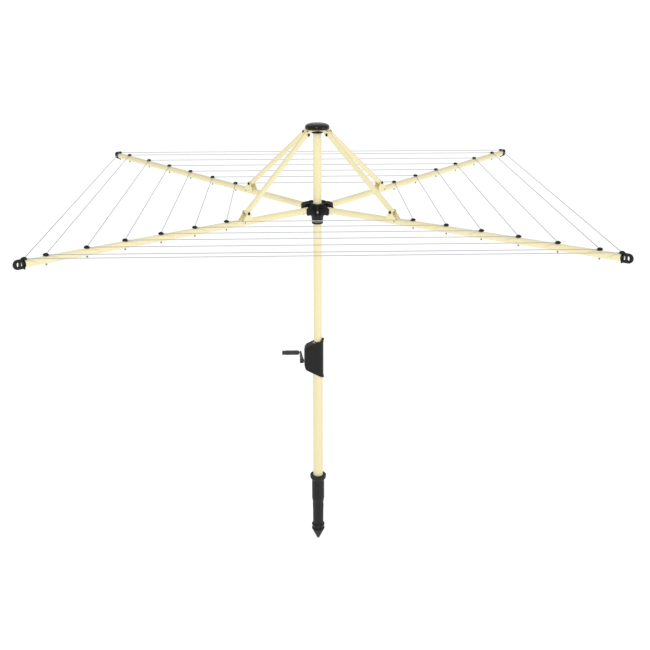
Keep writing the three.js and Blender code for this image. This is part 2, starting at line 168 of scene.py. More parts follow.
def length(name, description, millimetres):
    return FloatProperty(
        name=name, description=description, default=millimetres * MM, min=0.0, unit="LENGTH",
        precision=4,
    )


def colour(name, description, value):
    return FloatVectorProperty(
        name=name, description=description, default=value, size=4, min=0.0, max=1.0,
        subtype="COLOR",
    )


def strength(name, description, value):
    return FloatProperty(name=name, description=description, default=value, min=0.0)


class ClotheslineSizes(bpy.types.PropertyGroup):
    """Sizes of the round stock and of the small parts."""

    arm_radius: length("Arm Radius", "Outer radius of an arm's tube", 16)
    arm_bore: length("Arm Bore", "Inner radius of an arm's tube", 14.4)
    strut_radius: length("Strut Radius", "Outer radius of a strut's tube", 12.7)
    strut_bore: length("Strut Bore", "Inner radius of a strut's tube", 11.1)
    mast_wall: length("Upper Mast Wall", "Wall of the upper mast", 2.5)
    sleeve_wall: length("Lower Mast Wall", "Wall of the lower mast", 3)
    clearance: length("Clearance", "Gap between pieces that run on each other", 0.3)
    pin_radius: length("Pin Radius", "Radius of the pivot pins and bolts", 4)
    soft_edge: length("Soft Edge", "Rounding of a moulded edge", 0.9)
    round_steps: IntProperty(
        name="Round Steps", description="Faces around a large round piece", default=56,
        min=16, max=128,
    )


class ClotheslineColours(bpy.types.PropertyGroup):
    """Base colours of the finishes."""

    cream: colour("Cream Paint", "Powder coat of the masts, arms and struts", tint(243, 233, 188))
    black: colour("Black Plastic", "Moulded fittings", tint(24, 24, 25))
    gloss: colour("Gloss Black", "Cap, crank arm and latch button", tint(12, 12, 13))
    grip: colour("Grip Plastic", "Crank grip", tint(52, 52, 53))
    steel: colour("Zinc Steel", "Screws, shaft and gear", tint(190, 192, 194))
    nylon: colour("Nylon", "Bushes, washers and the holders' stems", tint(196, 194, 186))
    cord: colour("Line Cord", "Plastic covered line", tint(172, 174, 181))


class ClotheslineStage(bpy.types.PropertyGroup):
    """Floor, light and camera."""

    camera_place: FloatVectorProperty(
        name="Camera Place", description="Where the camera stands",
        default=(-0.1451, -4.9935, 2.7155), subtype="TRANSLATION", unit="LENGTH",
    )
    camera_turn: FloatVectorProperty(
        name="Camera Turn", description="The camera's rotation",
        default=(math.radians(70.09), 0.0, math.radians(-2.117)), subtype="EULER", unit="ROTATION",
    )
    lens: FloatProperty(
        name="Lens", description="Focal length in millimetres", default=54.43, min=1.0,
        unit="CAMERA",
    )
    floor_colour: colour("Floor", "Plain pale floor", tint(200, 200, 200))
    floor_glow: strength("Floor Glow", "The floor's own light", 0.68)
    sky: strength("Sky", "Strength of the even light", 0.62)
    key: strength("Key", "Power of the large soft light", 70.0)
    fill: strength("Fill", "Power of the light opposite", 22.0)


# ---------------------------------------------------------------- modelling tools

WELD = 1e-4      # points closer than this are one, in millimetres


def eased(points, reach, steps=4):
    """An outline with its corners rounded, each along a curve that starts a reach away from it.

    The first and last point stay sharp where the outline starts and ends on the axis.
    """
    open_ended = points[0][0] == 0 and points[-1][0] == 0
    count = len(points)
    result = []
    for index, point in enumerate(points):
        corner = Vector(point)
        if open_ended and index in (0, count - 1):
            result.append(corner)
            continue
        before = Vector(points[index - 1]) - corner
        after = Vector(points[(index + 1) % count]) - corner
        start = corner + before.normalized() * min(reach, before.length * 0.45)
        end = corner + after.normalized() * min(reach, after.length * 0.45)
        for step in range(steps + 1):
            t = step / steps
            result.append(start * (1 - t) ** 2 + corner * 2 * t * (1 - t) + end * t ** 2)
    return result


def arc(x, y, radius, start, end, steps=10):
    """Points along an arc, with its angles in degrees."""
    angles = [math.radians(start + (end - start) * step / steps) for step in range(steps + 1)]
    return [(x + radius * math.cos(angle), y + radius * math.sin(angle)) for angle in angles]


def spun(profile, steps=40):
    """A profile of (radius, height) points turned about Z, closed on the axis or on itself."""
    bm = bmesh.new()
    rim = [bm.verts.new((point[0], 0, point[1])) for point in profile]
    edges = [bm.edges.new(pair) for pair in zip(rim, rim[1:])]
    if profile[0][0] > 0:
        edges.append(bm.edges.new((rim[-1], rim[0])))
    bmesh.ops.spin(
        bm, geom=rim + edges, cent=(0, 0, 0), axis=(0, 0, 1), dvec=(0, 0, 0), angle=math.tau,
        steps=steps, use_merge=True, use_duplicate=False,
    )
    bmesh.ops.remove_doubles(bm, verts=bm.verts, dist=WELD)
    bmesh.ops.recalc_face_normals(bm, faces=bm.faces)
    return bm


def rod(radius, start, end, steps=24):
    return spun([(0, start), (radius, start), (radius, end), (0, end)], steps)


def tube(outer, inner, start, end, edge=0.4, steps=48):
    profile = [(inner, start), (outer, start), (outer, end), (inner, end)]
    return spun(eased(profile, edge, 2), steps)


def placed(bm, *matrices):
    """Moves or turns a mesh by each matrix, the last one first."""
    whole = Matrix.Identity(4)
    for matrix in matrices:
        whole = whole @ matrix
    bmesh.ops.transform(bm, matrix=whole, space=Matrix.Identity(4), verts=bm.verts)
    return bm


def at(x, y, z):
    return Matrix.Translation((x, y, z))


def bevelled(bm, edges, offset, segments):
    bmesh.ops.bevel(
        bm, geom=edges, offset=offset, offset_type="OFFSET", segments=segments, profile=0.5,
        affect="EDGES", material=-1, clamp_overlap=True,
    )
    return bm


def softened(bm, edge, segments=3, sharper_than=40):
    """Rounds every edge that turns by more than an angle in degrees."""
    limit = math.radians(sharper_than)
    sharp = [e for e in bm.edges if len(e.link_faces) == 2 and e.calc_face_angle(0) > limit]
    return bevelled(bm, sharp, edge, segments)


def sliced(bm, place, normal, clear=False):
    """Cuts the faces along a plane. What lies in front of it can be cleared and the cut closed."""
    everything = list(bm.verts) + list(bm.edges) + list(bm.faces)
    bmesh.ops.bisect_plane(
        bm, geom=everything, dist=WELD, plane_co=place, plane_no=normal, clear_outer=clear)
    if clear:
        bmesh.ops.holes_fill(bm, edges=[e for e in bm.edges if e.is_boundary], sides=0)


def plate(outline, start, end, edge=0.0, segments=3):
    """An outline in the XY plane given a height along Z, with both rims rounded."""
    bm = bmesh.new()
    face = bm.faces.new([bm.verts.new((point[0], point[1], start)) for point in outline])
    made = bmesh.ops.extrude_face_region(bm, geom=[face])
    lifted = [item for item in made["geom"] if isinstance(item, bmesh.types.BMVert)]
    bmesh.ops.translate(bm, vec=(0, 0, end - start), verts=lifted)
    bmesh.ops.recalc_face_normals(bm, faces=bm.faces)
    if edge:
        rims = [e for e in bm.edges if abs(e.verts[0].co.z - e.verts[1].co.z) < 1e-6]
        bevelled(bm, rims, edge, segments)
    return bm


def upright(outline, start, end, edge=0.0, segments=3):
    """An outline in the XZ plane given a thickness along Y from start to end."""
    flat = plate(outline, -end, -start, edge, segments)
    return placed(flat, Matrix.Rotation(math.radians(90), 4, "X"))


def block(x0, x1, y0, y1, z0, z1):
    bm = bmesh.new()
    bmesh.ops.create_cube(bm, size=1.0)
    bmesh.ops.scale(bm, vec=(x1 - x0, y1 - y0, z1 - z0), verts=bm.verts)
    return placed(bm, at((x0 + x1) / 2, (y0 + y1) / 2, (z0 + z1) / 2))


def mesh_of(bm, name):
    mesh = bpy.data.meshes.new(name)
    bm.to_mesh(mesh)
    bm.free()
    return mesh


def in_scene(name, data):
    """An object for a mesh, a light or a camera, put in the scene."""
    made = bpy.data.objects.new(name, data)
    bpy.context.scene.collection.objects.link(made)
    return made


def combined(operation, base, others):
    """Joins, cuts or keeps what is common to solids, with Blender's exact solver."""
    objects = [in_scene("working_solid", mesh_of(bm, "working_solid")) for bm in (base, *others)]
    for other in objects[1:]:
        modifier = objects[0].modifiers.new("combine", "BOOLEAN")
        modifier.operation = operation
        modifier.solver = "EXACT"
        modifier.object = other
    bpy.context.view_layer.update()
    result = bmesh.new()
    result.from_object(objects[0], bpy.context.evaluated_depsgraph_get())
    for item in objects:
        mesh = item.data
        bpy.data.objects.remove(item)
        bpy.data.meshes.remove(mesh)
    bmesh.ops.remove_doubles(result, verts=result.verts, dist=WELD)
    return result


def joined(base, *others):
    return combined("UNION", base, others)


def carved(base, *cutters):
    return combined("DIFFERENCE", base, cutters)


def common(base, *others):
    return combined("INTERSECT", base, others)


def gathered(*parts):
    """Separate solids kept in one mesh."""
    whole = bmesh.new()
    for part in parts:
        mesh = mesh_of(part, "gathered")
        whole.from_mesh(mesh)
        bpy.data.meshes.remove(mesh)
    return whole


def new_piece(name, bm, finish, body, nodes=(), sharp=32):
    """Makes a mesh in millimetres a finished piece that rides on a body."""
    bmesh.ops.scale(bm, vec=(MM, MM, MM), verts=bm.verts)
    mesh = mesh_of(bm, name)
    mesh.polygons.foreach_set("use_smooth", [True] * len(mesh.polygons))
    mesh.set_sharp_from_angle(angle=math.radians(sharp))
    mesh.materials.append(material(finish))
    made = in_scene(name, mesh)
    weighted = made.modifiers.new("even_shading", "WEIGHTED_NORMAL")
    weighted.keep_sharp = True
    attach(made, body)
    if nodes:
        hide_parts(*nodes)
    return made


# ---------------------------------------------------------------- shader node groups


def shader_node(tree, kind, inputs=None, **settings):
    """Adds a node. Each input is named or numbered, and is a value or another node's output."""
    made = tree.nodes.new(kind)
    for name, value in settings.items():
        setattr(made, name, value)
    for name, value in (inputs or {}).items():
        if isinstance(value, bpy.types.NodeSocket):
            tree.links.new(value, made.inputs[name])
        else:
            made.inputs[name].default_value = value
    return made


def math_node(tree, operation, *values, clamp=False):
    inputs = dict(enumerate(values))
    made = shader_node(tree, "ShaderNodeMath", inputs, operation=operation, use_clamp=clamp)
    return made.outputs[0]


def noise(tree, space, scale, detail, roughness=0.5, distortion=0.0):
    made = shader_node(tree, "ShaderNodeTexNoise", {
        "Vector": space, "Scale": scale, "Detail": detail, "Roughness": roughness,
        "Distortion": distortion,
    })
    return made.outputs["Fac"]


def cells(tree, space, scale, feature="F1"):
    inputs = {"Vector": space, "Scale": scale}
    return shader_node(tree, "ShaderNodeTexVoronoi", inputs, feature=feature).outputs


def stretched(tree, space, scale, rotation=(0.0, 0.0, 0.0)):
    inputs = {"Vector": space, "Scale": scale, "Rotation": rotation}
    return shader_node(tree, "ShaderNodeMapping", inputs).outputs[0]


def ranged(tree, value, low=0.0, high=1.0, to_low=0.0, to_high=1.0):
    made = shader_node(tree, "ShaderNodeMapRange", {
        "Value": value, "From Min": low, "From Max": high, "To Min": to_low, "To Max": to_high,
    })
    return made.outputs[0]


def new_group(name, inputs, outputs):
    """A shader node group with named number inputs and outputs, and its two end nodes."""
    tree = bpy.data.node_groups.new(name, "ShaderNodeTree")
    for socket, value in inputs.items():
        made = tree.interface.new_socket(socket, in_out="INPUT", socket_type="NodeSocketFloat")
        made.default_value = value
    for socket in outputs:
        tree.interface.new_socket(socket, in_out="OUTPUT", socket_type="NodeSocketFloat")
    given, out = (tree.nodes.new("NodeGroup" + end) for end in ("Input", "Output"))
    return tree, given.outputs, out.inputs


def object_space(tree):
    return tree.nodes.new("ShaderNodeTexCoord").outputs["Object"]


def powder_coat_group():
    """Orange peel of a baked powder coat, with the slow drift of its colour and small pinholes."""
    tree, given, out = new_group("Powder Coat", {"Scale": 420.0}, ("Height", "Tone"))
    space = object_space(tree)
    drift = noise(tree, space, 6.0, 3.0, roughness=0.6)
    pinholes = math_node(tree, "LESS_THAN", cells(tree, space, 260.0)["Distance"], 0.055)
    tone = math_node(tree, "MULTIPLY_ADD", pinholes, -0.35, drift, clamp=True)
    tree.links.new(noise(tree, space, given["Scale"], 2.0), out["Height"])
    tree.links.new(tone, out["Tone"])
    return tree


def mould_grain_group():
    """Spark-eroded grain of a moulded plastic, with faint flow marks."""
    tree, given, out = new_group("Mould Grain", {"Scale": 900.0}, ("Height", "Tone"))
    space = object_space(tree)
    pits = cells(tree, space, given["Scale"], feature="SMOOTH_F1")["Distance"]
    height = math_node(tree, "ADD", pits, noise(tree, space, given["Scale"], 4.0))
    tree.links.new(height, out["Height"])
    tree.links.new(noise(tree, space, 22.0, 4.0, roughness=0.65, distortion=1.4), out["Tone"])
    return tree


def plated_metal_group():
    """Drawn and plated metal: long fine scratches over a crystalline zinc spangle."""
    tree, given, out = new_group("Plated Metal", {"Scale": 160.0}, ("Height", "Tone"))
    space = object_space(tree)
    spangle = cells(tree, space, given["Scale"])["Color"]
    scratches = noise(tree, stretched(tree, space, (30.0, 1400.0, 1400.0)), 1.0, 2.0)
    tree.links.new(scratches, out["Height"])
    shade = shader_node(tree, "ShaderNodeRGBToBW", {"Color": spangle})
    tree.links.new(shade.outputs[0], out["Tone"])
    return tree


def cord_lay_group():
    """Lay of the fibres that show through the plastic cover of a line."""
    tree, given, out = new_group("Cord Lay", {"Scale": 150.0}, ("Height", "Tone"))
    space = object_space(tree)
    lay = shader_node(
        tree, "ShaderNodeTexWave", {"Vector": space, "Scale": given["Scale"], "Distortion": 0.4},
        wave_type="BANDS", bands_direction="DIAGONAL", wave_profile="SIN")
    tree.links.new(lay.outputs["Fac"], out["Height"])
    tree.links.new(noise(tree, space, 9.0, 3.0), out["Tone"])
    return tree


def garden_dust_group():
    """Dust on faces that look up, broken by noise, and soil splashed up near the ground."""
    tree, given, out = new_group("Garden Dust", {"Amount": 0.2, "Soil": 0.0}, ("Mask",))
    space = object_space(tree)
    normal = tree.nodes.new("ShaderNodeNewGeometry").outputs["Normal"]
    facing = shader_node(tree, "ShaderNodeSeparateXYZ", {"Vector": normal})
    up = ranged(tree, facing.outputs["Z"], 0.35, 1.0)
    settled = math_node(tree, "MULTIPLY", up, noise(tree, space, 34.0, 6.0, roughness=0.7))
    place = shader_node(tree, "ShaderNodeSeparateXYZ", {"Vector": space})
    near_ground = ranged(tree, place.outputs["Z"], 0.22, 0.0)
    splash = ranged(tree, noise(tree, space, 240.0, 5.0, roughness=0.75), 0.52, 0.68)
    soil = math_node(tree, "MULTIPLY", near_ground, splash)
    dust = math_node(tree, "MULTIPLY", settled, given["Amount"])
    whole = math_node(tree, "MULTIPLY_ADD", soil, given["Soil"], dust, clamp=True)
    tree.links.new(whole, out["Mask"])
    return tree


def scuffs_group():
    """Light rubbing marks and fine hairline scratches from handling."""
    tree, given, out = new_group("Scuffs", {"Scale": 40.0}, ("Mask",))
    leaning = stretched(tree, object_space(tree), (1.0, 9.0, 9.0), rotation=(0.3, 0.5, 0.9))
    marks = noise(tree, leaning, given["Scale"], 7.0, roughness=0.72)
    tree.links.new(ranged(tree, marks, 0.56, 0.7), out["Mask"])
    return tree


GROUPS = {
    "Powder Coat": powder_coat_group,
    "Mould Grain": mould_grain_group,
    "Plated Metal": plated_metal_group,
    "Cord Lay": cord_lay_group,
    "Garden Dust": garden_dust_group,
    "Scuffs": scuffs_group,
}


def placed_group(tree, name, **inputs):
    shared = bpy.data.node_groups.get(name) or GROUPS[name]()
    made = tree.nodes.new("ShaderNodeGroup")
    made.node_tree = shared
    for socket, value in inputs.items():
        made.inputs[socket].default_value = value
    return made.outputs


# ---------------------------------------------------------------- finishes

FINE_PREFIX = "fine_"    # the frame's plain materials have the slots' names without it
DUST_COLOUR = (0.46, 0.42, 0.34, 1.0)
SCUFF_SCALE = 40.0
RUBBED_GREY = 0.5        # what a rubbed colour fades towards, by the share below
RUBBED_SHARE = 0.35
LIGHTER_SHARE = 0.6      # a tone wanders less far to the light side than to the dark one
SCUFF_DULLNESS = 0.12    # roughness that scuffs and dust add where they are full
DUST_DULLNESS = 0.4
BUMP_STRENGTH = 0.6


def mixed(tree, factor, first, second):
    node = shader_node(tree, "ShaderNodeMix", {0: factor, 6: first, 7: second}, data_type="RGBA")
    return node.outputs[2]


def scaled_colour(colour_given, share):
    return [min(channel * share, 1.0) for channel in colour_given[:3]] + [1.0]


def surface(
    name, base, grain, scale, depth, gloss, drift=0.1, dust=0.12, soil=0.0, scuffs=0.06, **plain
):
    """A finish: a grain with its bump, a drifting tone, scuffs and settled dust, and plain values.

    Gloss is the roughness from the shiniest patches to the dullest, drift is how far the tone wanders,
    and depth is the height of the grain in metres.
    """
    made = bpy.data.materials.new(FINE_PREFIX + name)
    made.use_nodes = True
    tree = made.node_tree
    shader = tree.nodes["Principled BSDF"]
    texture = placed_group(tree, grain, Scale=scale)
    marks = placed_group(tree, "Scuffs", Scale=SCUFF_SCALE)["Mask"]
    dirt = placed_group(tree, "Garden Dust", Amount=dust, Soil=soil)["Mask"]

    darker = scaled_colour(base, 1 - drift)
    lighter = scaled_colour(base, 1 + drift * LIGHTER_SHARE)
    toned = mixed(tree, texture["Tone"], darker, lighter)
    rubbed = [channel + (RUBBED_GREY - channel) * RUBBED_SHARE for channel in base[:3]] + [1.0]
    worn = mixed(tree, math_node(tree, "MULTIPLY", marks, scuffs), toned, rubbed)
    tree.links.new(mixed(tree, dirt, worn, DUST_COLOUR), shader.inputs["Base Color"])

    shine = ranged(tree, texture["Tone"], to_low=gloss[0], to_high=gloss[1])
    scuffed = math_node(tree, "MULTIPLY_ADD", marks, SCUFF_DULLNESS, shine)
    dulled = math_node(tree, "MULTIPLY_ADD", dirt, DUST_DULLNESS, scuffed, clamp=True)
    tree.links.new(dulled, shader.inputs["Roughness"])

    height = {"Height": texture["Height"], "Strength": BUMP_STRENGTH, "Distance": depth}
    bump = shader_node(tree, "ShaderNodeBump", height)
    tree.links.new(bump.outputs[0], shader.inputs["Normal"])
    for socket, value in plain.items():
        shader.inputs[socket.replace("_", " ").title().replace("Ior", "IOR")].default_value = value
    return made


def cream_paint(colours):
    return surface(
        "cream_paint", colours.cream, "Powder Coat", 420, 0.00002, (0.4, 0.52), drift=0.012, dust=0.03,
        soil=0.2, scuffs=0.03, specular_ior_level=0.22)


def black_plastic(colours):
    return surface(
        "black_plastic", colours.black, "Mould Grain", 1100, 0.00007, (0.4, 0.56), drift=0.22,
        dust=0.015, soil=0.1, scuffs=0.05, specular_ior_level=0.25)


def gloss_black(colours):
    return surface(
        "gloss_black", colours.gloss, "Mould Grain", 500, 0.000012, (0.12, 0.2), drift=0.2, dust=0.01,
        scuffs=0.04, specular_ior_level=0.35)


def grip_plastic(colours):
    return surface(
        "grip_plastic", colours.grip, "Mould Grain", 700, 0.00016, (0.44, 0.62), drift=0.18, dust=0.1,
        scuffs=0.18, specular_ior_level=0.4)


def zinc_steel(colours):
    return surface(
        "zinc_steel", colours.steel, "Plated Metal", 420, 0.00003, (0.24, 0.42), drift=0.14, dust=0.05,
        scuffs=0.1, metallic=1.0)


def nylon(colours):
    return surface(
        "nylon", colours.nylon, "Mould Grain", 800, 0.00005, (0.42, 0.56), drift=0.06, dust=0.1,
        scuffs=0.08, subsurface_weight=0.05)


def stem_grey(colours):
    return surface(
        "stem_grey", scaled_colour(colours.nylon, 0.42), "Mould Grain", 900, 0.00005, (0.45, 0.6),
        drift=0.1, dust=0.1, scuffs=0.1)


# A pale grey on the latch button that paints in the highlight on the hub's front.
def button_painted_highlight_grey(colours):
    return surface(
        "button_painted_highlight_grey", scaled_colour(colours.steel, 0.55), "Mould Grain", 500, 0.000012, (0.2, 0.3),
        drift=0.1, dust=0.03, scuffs=0.1, specular_ior_level=0.4)


def line_cord(colours):
    return surface(
        "line_cord", colours.cord, "Cord Lay", 110, 0.0004, (0.38, 0.55), drift=0.07, dust=0.08,
        scuffs=0.06, specular_ior_level=0.4)


FINISHES = {
    maker.__name__: maker
    for maker in (
        cream_paint, black_plastic, gloss_black, grip_plastic, zinc_steel, nylon, stem_grey, button_painted_highlight_grey,
        line_cord)
}


def material(name):
    found = bpy.data.materials.get(FINE_PREFIX + name)
    return found or FINISHES[name](bpy.context.scene.clothesline_colours)


# ---------------------------------------------------------------- ground socket and mast


def ground_socket(sizes):
    """Driven into the lawn: a mouth, a fluted barrel, a finned shaft and a barbed point."""
    columns, per_rib = 64, 8
    shaft, barrel, barb, hollow = 30, 35, 37, 18      # radii
    cone, floor, step, neck = -354, -300, -150, -33   # heights
    bottom, rim = SOCKET_LOW.z, SOCKET_HIGH.x
    mouth = LOWER_HIGH.x + sizes.clearance / MM
    seat = LOWER_LOW.z - sizes.clearance / MM
    profile = [
        (0, bottom), (6, bottom + 1.5), (barb - 1, cone), (barb, cone + 3), (barb, cone + 7),
        (barb - 6, cone + 11), (barb - 0.6, cone + 28), (barb, cone + 31), (barb, cone + 34),
        (shaft, cone + 38), (shaft, step - 33), (barrel, step), (barrel, neck),
        (rim - 0.6, neck + 14), (rim, neck + 17), (rim, 0), (mouth, 0), (mouth, seat),
        (hollow, seat), (hollow, floor), (0, floor),
    ]
    bm = spun(eased(profile, 1.2, 3), columns)

    def scale_ribs(low, high, radius, share):
        """Scales the middle column of every rib between two heights and outside a radius."""
        ribs = []
        for vert in bm.verts:
            column = round(math.atan2(vert.co.y, vert.co.x) / math.tau * columns) % per_rib
            if column == per_rib // 2 and low < vert.co.z < high and vert.co.xy.length > radius:
                ribs.append(vert)
        bmesh.ops.scale(bm, vec=(share, share, 1), verts=ribs)

    scale_ribs(step + 1, neck, barrel - 1.5, 0.955)         # flutes
    scale_ribs(cone + 41, step - 34, shaft - 1.5, 1.12)     # fins
    scale_ribs(cone - 1, cone + 35, barb - 2, 0.88)         # barbs
    new_piece("ground_socket_body", bm, "black_plastic", "ground", ["ground_socket"], sharp=24)


def masts(sizes):
    """The two telescoping tubes, with the bushes and collars on them."""
    steps = sizes.round_steps
    wall, sleeve, gap = sizes.mast_wall / MM, sizes.sleeve_wall / MM, sizes.clearance / MM
    outer, inner = LOWER_HIGH.x, UPPER_HIGH.x
    window_width, window_height = 16, 30
    window = block(
        -30, -20, -window_width / 2, window_width / 2,
        GEAR.z - window_height / 2, GEAR.z + window_height / 2)
    lower = tube(outer, outer - sleeve, LOWER_LOW.z, LOWER_HIGH.z, steps=steps)
    new_piece("lower_mast_tube", carved(lower, window), "cream_paint", "lower_mast", ["lower_mast"])
    upper = tube(inner, inner - wall, UPPER_LOW.z, UPPER_HIGH.z, steps=steps)
    new_piece("upper_mast_tube", upper, "cream_paint", "upper_mast", ["upper_mast"])

    bush, top = inner + gap, LOWER_HIGH.z
    depth, flange, rack_slot = 24, 3.5, 9.2
    guide = spun(eased([
        (bush, top - depth), (outer - sleeve - gap, top - depth), (outer - sleeve - gap, top + gap),
        (outer, top + gap), (outer, top + flange), (bush, top + flange),
    ], 0.6, 3), steps)
    slot = block(-25, -20, -rack_slot / 2, rack_slot / 2, top - depth - 6, top + 5)
    new_piece("guide_bush", carved(guide, slot), "black_plastic", "lower_mast", ["mast_guide_bush"])

    shoulder = 3.6
    ring = spun(eased([
        (bush, BUSH_LOW.z), (BUSH_HIGH.x - shoulder, BUSH_LOW.z),
        (BUSH_HIGH.x, BUSH_LOW.z + shoulder + 0.2), (BUSH_HIGH.x, BUSH_HIGH.z), (bush, BUSH_HIGH.z),
    ], 1.1), steps)
    new_piece("top_bush", ring, "black_plastic", "upper_mast", ["mast_top_bush"])
    stop_collar(bush, steps)


def stop_collar(bush, steps):
    """The collar that the runner hub rests on: a dark lip with a paler band over it."""
    split, band_radius = COLLAR_LOW.z + 10, COLLAR_HIGH.x - 1.5
    lip = spun(eased([
        (bush, COLLAR_LOW.z), (COLLAR_HIGH.x - 1.8, COLLAR_LOW.z),
        (COLLAR_HIGH.x, COLLAR_LOW.z + 2.4), (COLLAR_HIGH.x, split), (bush, split),
    ], 0.9), steps)
    new_piece("collar_lip", lip, "black_plastic", "upper_mast", ["hub_stop_collar"])
    band = spun(eased([
        (bush, split), (band_radius, split), (band_radius, COLLAR_HIGH.z), (bush, COLLAR_HIGH.z),
    ], 0.8), steps)
    new_piece(
        "collar_band", band, "stem_grey", "upper_mast", ["hub_stop_collar"])


# ---------------------------------------------------------------- winder

HOUSING_DEPTH = 31           # from the mast's axis to the front
HOUSING_CORNER = 14          # radius of the upright corners away from the mast
HOUSING_BOTTOM, HOUSING_TOP = 600, 832
PAST_HOUSING = (HOUSING_BOTTOM - 10, HOUSING_TOP + 8)
FLARE_LOW, FLARE_HIGH, FLARE_LENGTH = 628, 804, 28
FLARE_FADE = 26              # how far behind the mast's axis the flare reaches
CAVITY_HALF = 24
HOUSING_SCREWS = ((-63, 765), (-34, 793), (-63, 681), (-34, 646))
# the housing's side outline, whose sides are cut one after the other
HOUSING_SIDE = (
    (38, 829), (38, 603), (-60, 651), (-70, 663), (-74, 682), (-74, 766), (-70, 780), (-60, 791),
    (-27, 806),
)
CAVITY_SIDE = (
    (-22, 797), (-22, 643), (-56, 660), (-64, 668), (-70, 684), (-70, 764), (-64, 776), (-56, 783),
)


def flare(height):
    """How much wider the sleeve gets near its two ends, as a share of its radius."""
    end = max((FLARE_LOW - height) / FLARE_LENGTH, (height - FLARE_HIGH) / FLARE_LENGTH, 0)
    return 0.17 * end ** 1.6


def housing_outside():
    """A box beside the mast, blended into a sleeve that flares at both ends."""
    corner = HOUSING_CORNER
    plan = arc(0, 0, HOUSING_DEPTH, -90, 90, 24)
    plan += arc(-60, corner, corner, 90, 180, 8) + arc(-60, -corner, corner, 180, 270, 8)
    bm = plate(plan, HOUSING_BOTTOM, HOUSING_TOP)
    step = 4
    below = range(FLARE_LOW - 6 * step, FLARE_LOW + step, step)
    above = range(FLARE_HIGH, FLARE_HIGH + 7 * step, step)
    for height in (*below, *above):
        sliced(bm, (0, 0, height), (0, 0, 1))
    for vert in bm.verts:
        share = min(max((vert.co.x + FLARE_FADE) / FLARE_FADE, 0), 1)
        wider = 1 + flare(vert.co.z) * share
        vert.co.x = vert.co.x * wider if vert.co.x > 0 else vert.co.x
        vert.co.y *= wider
    for start, end in zip(HOUSING_SIDE, HOUSING_SIDE[1:] + HOUSING_SIDE[:1]):
        along = Vector((end[0] - start[0], 0, end[1] - start[1]))
        sliced(bm, (start[0], 0, start[1]), (-along.z, 0, along.x), clear=True)
    bmesh.ops.recalc_face_normals(bm, faces=bm.faces)
    return softened(bm, 2.0, 4, sharper_than=44)


def winder_housing(sizes):
    """Two moulded halves, split along the mast, that hold the crank shaft and the lift gear."""
    gap, pin = sizes.clearance / MM, sizes.pin_radius / MM
    pillar, pin_boss, bearing, journal = 6, 7.5, 13, 7      # radii
    screw, screw_head = 2, 4.2
    wall, outside = 29, 45
    across = [at(x, 0, z) @ ALONG_Y for x, z in HOUSING_SCREWS]
    shaft = at(0, 0, SHAFT_HEIGHT) @ ALONG_X
    pin_place = at(GEAR.x, 0, GEAR.z) @ ALONG_Y
    pillars = [placed(rod(pillar, -wall, wall), place) for place in across]
    gear_room = block(-75, -15, -16, 16, HOUSING_BOTTOM, HOUSING_TOP)
    cavity = carved(
        upright(CAVITY_SIDE, -CAVITY_HALF, CAVITY_HALF), placed(rod(bearing, -73, -60), shaft),
        carved(placed(rod(pin_boss, -wall, wall), pin_place), gear_room), *pillars)
    cuts = [
        cavity,
        rod(LOWER_HIGH.x + gap, *PAST_HOUSING, sizes.round_steps),
        placed(rod(journal + gap, -80, -50), shaft),
        placed(rod(pin + gap, -26.6, 26.6), pin_place),
    ]
    for place in across:
        cuts.append(placed(spun([
            (0, -CAVITY_HALF), (screw + gap, -CAVITY_HALF), (screw + gap, CAVITY_HALF),
            (screw_head + gap, CAVITY_HALF), (screw_head + gap, outside - 5), (0, outside - 5),
        ], 24), place))
        cuts.append(placed(rod(screw_head, 5 - outside, -27.4), place))
    for side in (-1, 1):
        near, far = sorted((side * 28.1, side * outside))
        cuts.append(block(-42.4, -41.0, near, far, *PAST_HOUSING))      # seam groove
    shell = carved(housing_outside(), *cuts)
    for name, kept in (("front", (-gap / 2, outside)), ("back", (-outside, gap / 2))):
        half = carved(shell.copy(), block(-80, outside, *kept, *PAST_HOUSING))
        node = f"winder_housing_{name}"
        new_piece(f"housing_half_{name}", half, "black_plastic", "lower_mast", [node], sharp=28)
    shell.free()


def winder_screws(sizes):
    """Pan-head screws with a cross recess."""
    shank, head, top = 2, 3.9, 27
    seat = CAVITY_HALF + sizes.clearance / MM
    recess, reach = 0.45, 2.2
    for number, (x, z) in enumerate(HOUSING_SCREWS, 1):
        body = spun(eased([
            (0, -20), (shank, -18), (shank, seat), (head, seat), (head, top - 0.8), (2.4, top),
            (0, top),
        ], 0.5, 3), 24)
        cross = [
            block(-reach, reach, -recess, recess, top - 1.4, top + 3),
            block(-recess, recess, -reach, reach, top - 1.4, top + 3),
        ]
        turned = Matrix.Rotation(0.4 * number, 4, "Z")      # no two are driven home alike
        screw = placed(carved(body, *cross), at(x, 0, z), ALONG_Y, turned)
        new_piece(
            f"housing_screw_{number}", screw, "zinc_steel", "lower_mast", [f"winder_screw_{number}"])


CRANK_SHAFT = 5      # radius where the shaft and the grip's pin go through the arm
CRANK_FACE = Matrix(((0, 0, 1, 0), (1, 0, 0, 0), (0, 1, 0, 0), (0, 0, 0, 1)))    # X to Y, Y to Z


def on_shaft(bm):
    return placed(bm, at(0, 0, SHAFT_HEIGHT), ALONG_X)


def on_grip_pin(bm):
    return placed(bm, at(0, GRIP_OFFSET, SHAFT_HEIGHT), ALONG_X)


